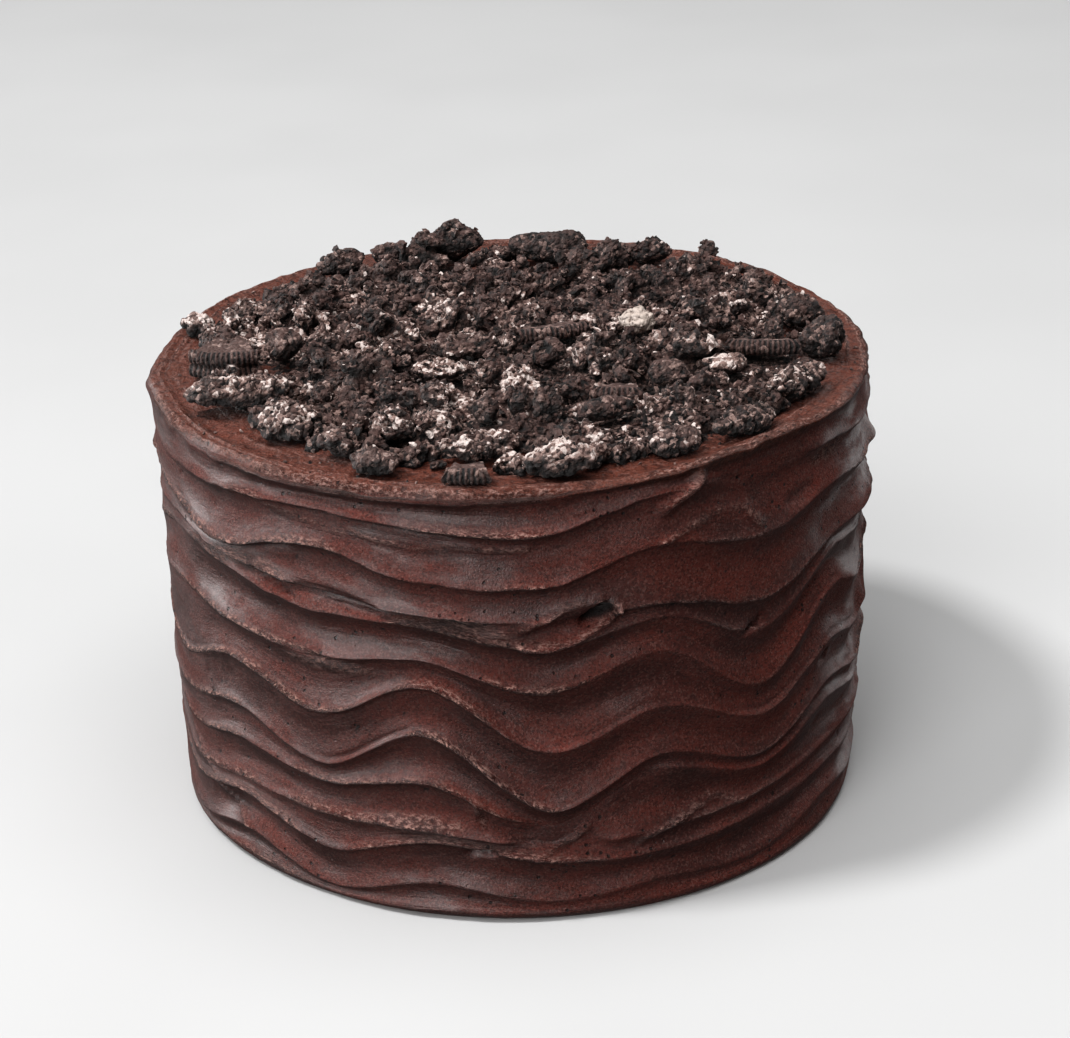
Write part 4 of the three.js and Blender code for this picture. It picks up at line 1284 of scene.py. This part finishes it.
def coat_grids(angles, unevenness):
    """Radius, height, tearing, distance across the strokes and depth of cuts, for each row and column."""
    rows = cake_rows(angles)
    radius, height, torn, across, cut = (np.array([row[i] for row in rows]) for i in range(5))
    first_top = len(rows) - len(TOP_STEPS) - 1
    side = slice(1, first_top)
    ring = slice(first_top, len(rows) - 1)
    rim = slice(first_top - RIM_ROWS, first_top + RIM_ROWS)
    turns = np.broadcast_to(angles, height.shape)
    shift, tear, holes = side_detail(turns[side], height[side])
    radius[side] += shift
    torn[side] = np.maximum(torn[side], tear)
    # The cut attribute carries the cuts, the pits and the deepest hollows, for the painted shade in them
    cut[side] = np.maximum(0.8 * cut[side], holes)
    places = np.stack([*in_plan(turns, radius), height], axis=-1)
    level = np.clip(height / FOOT_CALM, 0, 1)
    coat = unevenness * (bumpy(places, SWELLING) + bumpy(places * (0.6, 0.6, 1), STROKE_SWELLING))
    coat += torn * bumpy(places, TORN_BUMPS) + bumpy(places, SIDE_GRAIN)
    radius[side] += (coat * level)[side]
    height[ring] += bumpy(places, TOP_SWELLING)[ring]
    height[ring] += (torn * bumpy(places, TORN_TOP_BUMPS))[ring]
    height[ring] += bumpy(places * (1, 1, 0), TOP_GRAIN)[ring]
    radius[rim] += bumpy(places, RIM_GRAIN)[rim]
    return radius, height, torn, across, cut


class CAKE_OT_buttercream(bpy.types.Operator):
    """Spread the buttercream over the cake and draw the palette knife's waves into it"""

    bl_idname = "cake.buttercream"
    bl_label = "Buttercream"

    def execute(self, context):
        choice = context.scene.buttercream
        angles = np.arange(COLUMNS) * 360 / COLUMNS
        radius, height, torn, across, cut = coat_grids(angles, choice.unevenness / MM)
        mesh, row, column = turned_mesh("buttercream coat", len(height), COLUMNS)
        x, y = in_plan(angles[column], radius[row, column])
        put_coordinates(mesh, np.stack([x, y, height[row, column]], axis=1))
        put_values(mesh, "torn", torn[row, column])
        put_values(mesh, "across", across[row, column])
        put_values(mesh, "cut", cut[row, column])
        piece = new_object("buttercream_coat", mesh, make_buttercream(choice))
        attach(piece, "root")
        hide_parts("frosted_cake")
        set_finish(piece, "buttercream")
        return {"FINISHED"}


def crowded(x, y, margin, taken):
    """Whether a place in plan lies on one of the large pieces or within a margin of it."""
    return any(
        math.hypot((x - at[0]) / (half[0] + margin), (y - at[1]) / (half[1] + margin)) < 1
        for at, half in taken
    )


def bed_clods(ground):
    """The small clods that the bed is heaped from, clear of the large pieces."""
    taken = footprints()
    clods = []
    for i in range(CLODS + EDGE_CLODS):
        at_edge = i >= CLODS
        x, y = spot_on_heap(i, 71, 0.95 if at_edge else 0)
        place, _ = drop(ground, x, y)
        size = mix(*CLOD_SIZES, float(lot(i, 73)) ** 1.5) * (EDGE_CLOD_SHARE if at_edge else 1)
        if place is None or crowded(x, y, CLOD_MARGIN * size, taken):
            continue
        rise = mix(*(EDGE_CLOD_RISES if at_edge else CLOD_RISES), float(lot(i, 75)))
        place[2] = max(place[2] + size * rise, HEAP_FLOOR + CLOD_MARGIN * size)
        clods.append(lump(i, 77, place, size))
    return clods


class CAKE_OT_crumb_bed(bpy.types.Operator):
    """Heap the bed of crushed cookie that the chunks and the loose crumbs rest on"""

    bl_idname = "cake.crumb_bed"
    bl_label = "Crumb bed"

    def execute(self, context):
        bed = cad_copy("crumb_heap")
        clods = bed_clods(surface_of([bed]))
        put_coordinates(bed, coordinates(bed) - (0, 0, GAP_DEPTH))
        shapes, faces = grain_shapes(5, 16, 79)
        mesh = even_net([bed, scattered_mesh("clods", shapes, faces, clods)], BED_NET)
        flat_underside(mesh, BED_UNDERSIDE)
        crumble(mesh, smeared(coordinates(mesh)), 0.5, 0.85, 41)
        piece = new_object("crumb_bed", mesh, cookie_material(), smooth_faces=False)
        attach(piece, "root")
        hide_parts("crumb_heap")
        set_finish(piece, "cookie_crumb")
        return {"FINISHED"}


def knobs_on(form, k, crumbly):
    """Knobs of crumb that stick to a chunk, partly sunk in it."""
    corners = coordinates(form)
    out = normals(form)
    knobs = []
    for i in range(round(KNOBS * crumbly)):
        j = int(lot(i, k + 93) * len(corners))
        if out[j, 2] > -0.3:
            size = mix(*KNOB_SIZES, float(lot(i, k + 94)))
            knobs.append(lump(i, k + 95, corners[j] - KNOB_SUNK * size * out[j], size))
    return knobs


class CAKE_OT_cookie_chunks(bpy.types.Operator):
    """Break the large chunks of cookie, each in its place on the heap"""

    bl_idname = "cake.cookie_chunks"
    bl_label = "Cookie chunks"

    def execute(self, context):
        shapes, faces = grain_shapes(5, 8, 91)
        for k, (name, (filling, pale, crumbly)) in enumerate(CHUNKS.items()):
            node = "cookie_chunk_" + name
            forms = [cad_copy(node)]
            knobs = knobs_on(forms[0], k, crumbly)
            if knobs:
                forms.append(scattered_mesh("knobs", shapes, faces, knobs))
            mesh = even_net(forms, CHUNK_NET)
            smear = np.clip(filling * (1 + 0.6 * bumps(coordinates(mesh), 4.2, k)), 0, 1)
            crumble(mesh, 0.62 * smear, pale, 1.15 * crumbly, 60 + 3 * k)
            piece = new_object("broken_cookie_" + name, mesh, cookie_material(), smooth_faces=False)
            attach(piece, "root")
            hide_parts(node)
            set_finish(piece, "cookie")
        return {"FINISHED"}


def wafer_blank(name, section, depth, thickness, half):
    """A sector of a cookie's edge, turned from its section, to that angle on both sides of the front.

    Its corners are in millimetres, until its rim is notched and its sides are broken.
    """
    loop = [(UNDERSIDE_END[0] * depth, UNDERSIDE_END[1])] + section
    loop += [(share * depth, up) for share, up in BROKEN_SIDE]
    bm = bmesh.new()
    corners = [bm.verts.new((0, -(COOKIE_RADIUS - x), thickness * (z - 0.5))) for x, z in loop]
    edges = [bm.edges.new(pair) for pair in zip(corners, corners[1:] + corners[:1])]
    bmesh.ops.rotate(bm, verts=corners, cent=(0, 0, 0), matrix=Matrix.Rotation(-half, 3, "Z"))
    steps = round(2 * half * COOKIE_RADIUS / NOTCH_PITCH) * NOTCH_STEPS
    bmesh.ops.spin(
        bm, geom=corners + edges, cent=(0, 0, 0), axis=(0, 0, 1), dvec=(0, 0, 0), angle=2 * half,
        steps=steps,
    )
    bmesh.ops.holes_fill(bm, edges=bm.edges, sides=0)
    bmesh.ops.triangulate(bm, faces=[face for face in bm.faces if len(face.verts) > 4])
    bmesh.ops.recalc_face_normals(bm, faces=bm.faces)
    mesh = bpy.data.meshes.new(name)
    bm.to_mesh(mesh)
    bm.free()
    return mesh


def wafer_mesh(name, section, depth, thickness, length, seed):
    """A piece broken from the edge of a cookie, its notched rim towards the front, about the origin."""
    half = math.asin(length / (2 * COOKIE_RADIUS))
    mesh = wafer_blank(name, section, depth, thickness, half)
    places = coordinates(mesh, 1)
    turn = np.arctan2(places[:, 0], -places[:, 1])
    radius = np.hypot(places[:, 0], places[:, 1])
    inwards = COOKIE_RADIUS - radius
    along = turn * COOKIE_RADIUS
    # The notches fade from the rim inwards, and the broken sides are jagged
    wave = 0.5 - 0.5 * np.cos(2 * np.pi * along / NOTCH_PITCH)
    notch = NOTCH_DEPTH * wave * ramp(3.0 - inwards, 0, 1.4)
    radius -= notch
    places[:, 2] -= 0.3 * notch * np.sign(places[:, 2])
    broken = ramp(inwards, 3.2, depth)
    on_edge = np.stack([along, 0 * along, 0 * along + seed], axis=1)
    jags = 1.4 * bumps(places + (0, 0, seed), 3.1, seed) + 0.25 * depth * bumps(on_edge, 5.5, seed)
    radius += broken * jags
    ends = ramp(np.abs(turn), 0.55 * half, half)
    turn += ends * 0.05 * bumps(places * (0, 1, 1) + seed, 2.2, seed + 3) * np.sign(turn)
    crumbs = 0.12 + 0.5 * broken
    radius += crumbs * 0.5 * bumps(places, 1.3, seed + 5)
    places[:, 2] += crumbs * 0.6 * bumps(places, 1.6, seed + 7)
    y = COOKIE_RADIUS - depth / 2 - radius * np.cos(turn)
    put_coordinates(mesh, np.stack([radius * np.sin(turn), y, places[:, 2]], axis=1))
    put_values(mesh, "filling", 0.2 * broken)
    # The crumb is darker at the bottom of each notch: painted shade
    put_values(mesh, "tone", 0.85 + 0.25 * bumps(places, 3, seed) - 1.1 * notch / NOTCH_DEPTH)
    return mesh


class CAKE_OT_wafers(bpy.types.Operator):
    """Shape the broken wafers that keep some of the cookie's notched edge"""

    bl_idname = "cake.wafers"
    bl_label = "Wafer pieces"

    def execute(self, context):
        for k, (name, (at, rise, size, turn, tilt)) in enumerate(WAFERS.items()):
            length, depth, thickness = size
            section = COOKIE_SECTION if thickness > THICK_WAFER else WAFER_SECTION
            mesh = wafer_mesh(name, section, depth, thickness, length, k + 1)
            lie = Matrix.Rotation(math.radians(turn), 4, "Z") @ Matrix.Rotation(math.radians(tilt), 4, "X")
            mesh.transform(Matrix.Translation(Vector((*at, HEAP_FLOOR + rise + thickness / 2)) * MM) @ lie)
            piece = new_object("wafer_shard_" + name, mesh, cookie_material())
            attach(piece, "root")
            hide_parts("wafer_piece_" + name)
            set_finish(piece, "cookie")
        return {"FINISHED"}


class CAKE_OT_filling(bpy.types.Operator):
    """Drop the lump of sugar filling on the heap"""

    bl_idname = "cake.filling"
    bl_label = "Filling"

    def execute(self, context):
        mesh = even_net([cad_copy("cream_lump")], FILLING_NET)
        places = coordinates(mesh)
        large, _ = granules(places, FILLING_GRANULES[0], 7)
        small, _ = granules(places, FILLING_GRANULES[1], 9)
        shift = FILLING_RISES[0] * (large - 0.6) + FILLING_RISES[1] * (small - 0.5)
        put_coordinates(mesh, places + normals(mesh) * shift[:, None])
        piece = new_object("filling_lump", mesh, make_filling(context.scene.cookie))
        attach(piece, "root")
        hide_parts("cream_lump")
        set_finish(piece, "cream_filling")
        return {"FINISHED"}


def loose_crumb(i, kind, heap, bare, coat):
    """One loose crumb where it lands on the heap, or on the coat as a stray, or None if it is lost."""
    seed = kind["seed"]
    if kind["name"] == "stray_crumbs":
        x, y = in_plan(mix(-180, 180, float(lot(i, seed))), mix(*STRAY_RING, float(lot(i, seed + 0.5))))
        place, out = drop(coat, x, y)
    else:
        x, y = spot_on_heap(i, seed)
        place, out = drop(heap, x, y)
    above, _ = drop(bare, x, y)
    if place is None or above is not None and above[2] > place[2] - BARE_MARGIN:
        return None
    size = mix(*kind["sizes"], float(lot(i, seed + 1)) ** 1.6)
    grain = lump(i, seed, place + out * size * CRUMB_RISE, size)
    grain["tone"] = float(lot(i, seed + 4)) ** 1.3
    smear = float(smeared(place[None])[0])
    coated = float(lot(i, seed + 5)) < COATED_SHARES[0] + COATED_SHARES[1] * smear
    grain["filling"] = COATED if coated else UNCOATED * smear
    return grain


class CAKE_OT_loose_crumbs(bpy.types.Operator):
    """Scatter loose crumbs of several sizes over the heap, and a few round it"""

    bl_idname = "cake.loose_crumbs"
    bl_label = "Loose crumbs"

    def execute(self, context):
        heap = []
        bare = [bpy.data.objects["filling_lump"].data]
        for piece in bpy.data.objects:
            if piece.get("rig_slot") in ("cookie", "cookie_crumb"):
                keeps_bare = piece.name.startswith("wafer") or piece.name.endswith(BARE)
                (bare if keeps_bare else heap).append(piece.data)
        coat = [bpy.data.objects["buttercream_coat"].data]
        grounds = [surface_of(meshes) for meshes in (heap, bare, coat)]
        for kind in GRAINS:
            shapes, faces = grain_shapes(kind["segments"], VARIANTS, kind["seed"])
            dropped = range(int(kind["count"] * context.scene.cookie.heap_share))
            grains = [loose_crumb(i, kind, *grounds) for i in dropped]
            mesh = scattered_mesh(kind["name"], shapes, faces, [grain for grain in grains if grain])
            piece = new_object(kind["name"], mesh, cookie_material(), smooth_faces=False)
            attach(piece, "root")
            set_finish(piece, "cookie_crumb")
        return {"FINISHED"}


class CAKE_OT_studio(bpy.types.Operator):
    """Set up the pale floor, the soft lights and the camera"""

    bl_idname = "cake.studio"
    bl_label = "Studio"

    def execute(self, context):
        scene = context.scene
        choice = scene.studio
        scene.view_settings.view_transform = "Standard"
        scene.view_settings.look = "Medium High Contrast"
        scene.world = bpy.data.worlds.new("soft room")
        scene.world.use_nodes = True
        room = scene.world.node_tree.nodes["Background"]
        room.inputs["Color"].default_value = linear("#ffffff")
        room.inputs["Strength"].default_value = choice.surround
        bm = bmesh.new()
        bmesh.ops.create_circle(bm, cap_ends=True, segments=96, radius=FLOOR_RADIUS)
        mesh = bpy.data.meshes.new("floor")
        bm.to_mesh(mesh)
        bm.free()
        floor = new_object("floor", mesh, make_floor(choice))
        # A dark ground would be put under dark icing, to keep the floor's light out of its hollows
        floor.visible_diffuse = False
        floor.visible_glossy = False
        for name, size, place in LIGHTS:
            light = add_light(name, getattr(choice, name), size, place)
            light.visible_diffuse = not name.endswith("reflector")
        camera = bpy.data.cameras.new("camera")
        camera.lens = LENS
        camera.sensor_width = SENSOR
        holder = bpy.data.objects.new("camera", camera)
        scene.collection.objects.link(holder)
        holder.matrix_world = camera_place()
        scene.camera = holder
        return {"FINISHED"}


def make_floor(choice):
    """Pale laminate, matt and plain enough to be only a ground for the cake."""
    material, tree, where = new_material("matt pale laminate")
    pattern = add(tree, "TexNoise", Vector=where, Scale=1 / (FLOOR_MOTTLE * MM))
    share = add(tree, "MapRange", RISE, Value=pattern, From_Min=0.3, From_Max=0.7)
    ground = layered(tree, choice.floor, ((share, choice.mottle),))
    return finished(material, Base_Color=ground, Roughness=0.9, Specular_IOR_Level=0.0)


def add_light(name, power, size, place):
    """A round soft light that is aimed at the cake."""
    light = bpy.data.lights.new(name, "AREA")
    light.shape = "DISK"
    light.size = size
    light.energy = power
    holder = bpy.data.objects.new(name, light)
    holder.location = place
    holder.rotation_mode = "QUATERNION"
    holder.rotation_quaternion = (Vector(place) - Vector(LIGHTS_AIM)).to_track_quat("Z", "Y")
    bpy.context.scene.collection.objects.link(holder)
    return holder


def camera_place():
    """The camera's matrix: it looks at the target from the photograph's height, slightly rolled."""
    up_angle, roll = math.radians(ELEVATION), math.radians(ROLL)
    back = Vector((0, -math.cos(up_angle), math.sin(up_angle)))
    right = Vector((1, 0, 0))
    up = back.cross(right)
    rolled_right = right * math.cos(roll) + up * math.sin(roll)
    rolled_up = up * math.cos(roll) - right * math.sin(roll)
    turn = Matrix((rolled_right, rolled_up, back)).transposed().to_4x4()
    return Matrix.Translation((Vector(TARGET) + back * DISTANCE) * MM) @ turn


class CAKE_PT_panel(bpy.types.Panel):
    bl_label = "Chocolate cookie cake"
    bl_idname = "CAKE_PT_panel"
    bl_space_type = "VIEW_3D"
    bl_region_type = "UI"
    bl_category = "Cake"

    def draw(self, context):
        for operator in OPERATORS:
            self.layout.operator(operator.bl_idname)


OPERATORS = [
    CAKE_OT_studio, CAKE_OT_buttercream, CAKE_OT_crumb_bed, CAKE_OT_cookie_chunks, CAKE_OT_wafers,
    CAKE_OT_filling, CAKE_OT_loose_crumbs,
]
GROUPS = {"buttercream": ButtercreamSettings, "cookie": CookieSettings, "studio": StudioSettings}


def register():
    for name, group in GROUPS.items():
        bpy.utils.register_class(group)
        setattr(bpy.types.Scene, name, bpy.props.PointerProperty(type=group))
    for shown in OPERATORS + [CAKE_PT_panel]:
        bpy.utils.register_class(shown)


def unregister():
    for shown in [CAKE_PT_panel] + OPERATORS[::-1]:
        bpy.utils.unregister_class(shown)
    for name, group in GROUPS.items():
        delattr(bpy.types.Scene, name)
        bpy.utils.unregister_class(group)


def main():
    register()
    bpy.ops.cake.studio()
    bpy.ops.cake.buttercream()
    bpy.ops.cake.crumb_bed()
    bpy.ops.cake.cookie_chunks()
    bpy.ops.cake.wafers()
    bpy.ops.cake.filling()
    bpy.ops.cake.loose_crumbs()


if __name__ == "__main__":
    main()
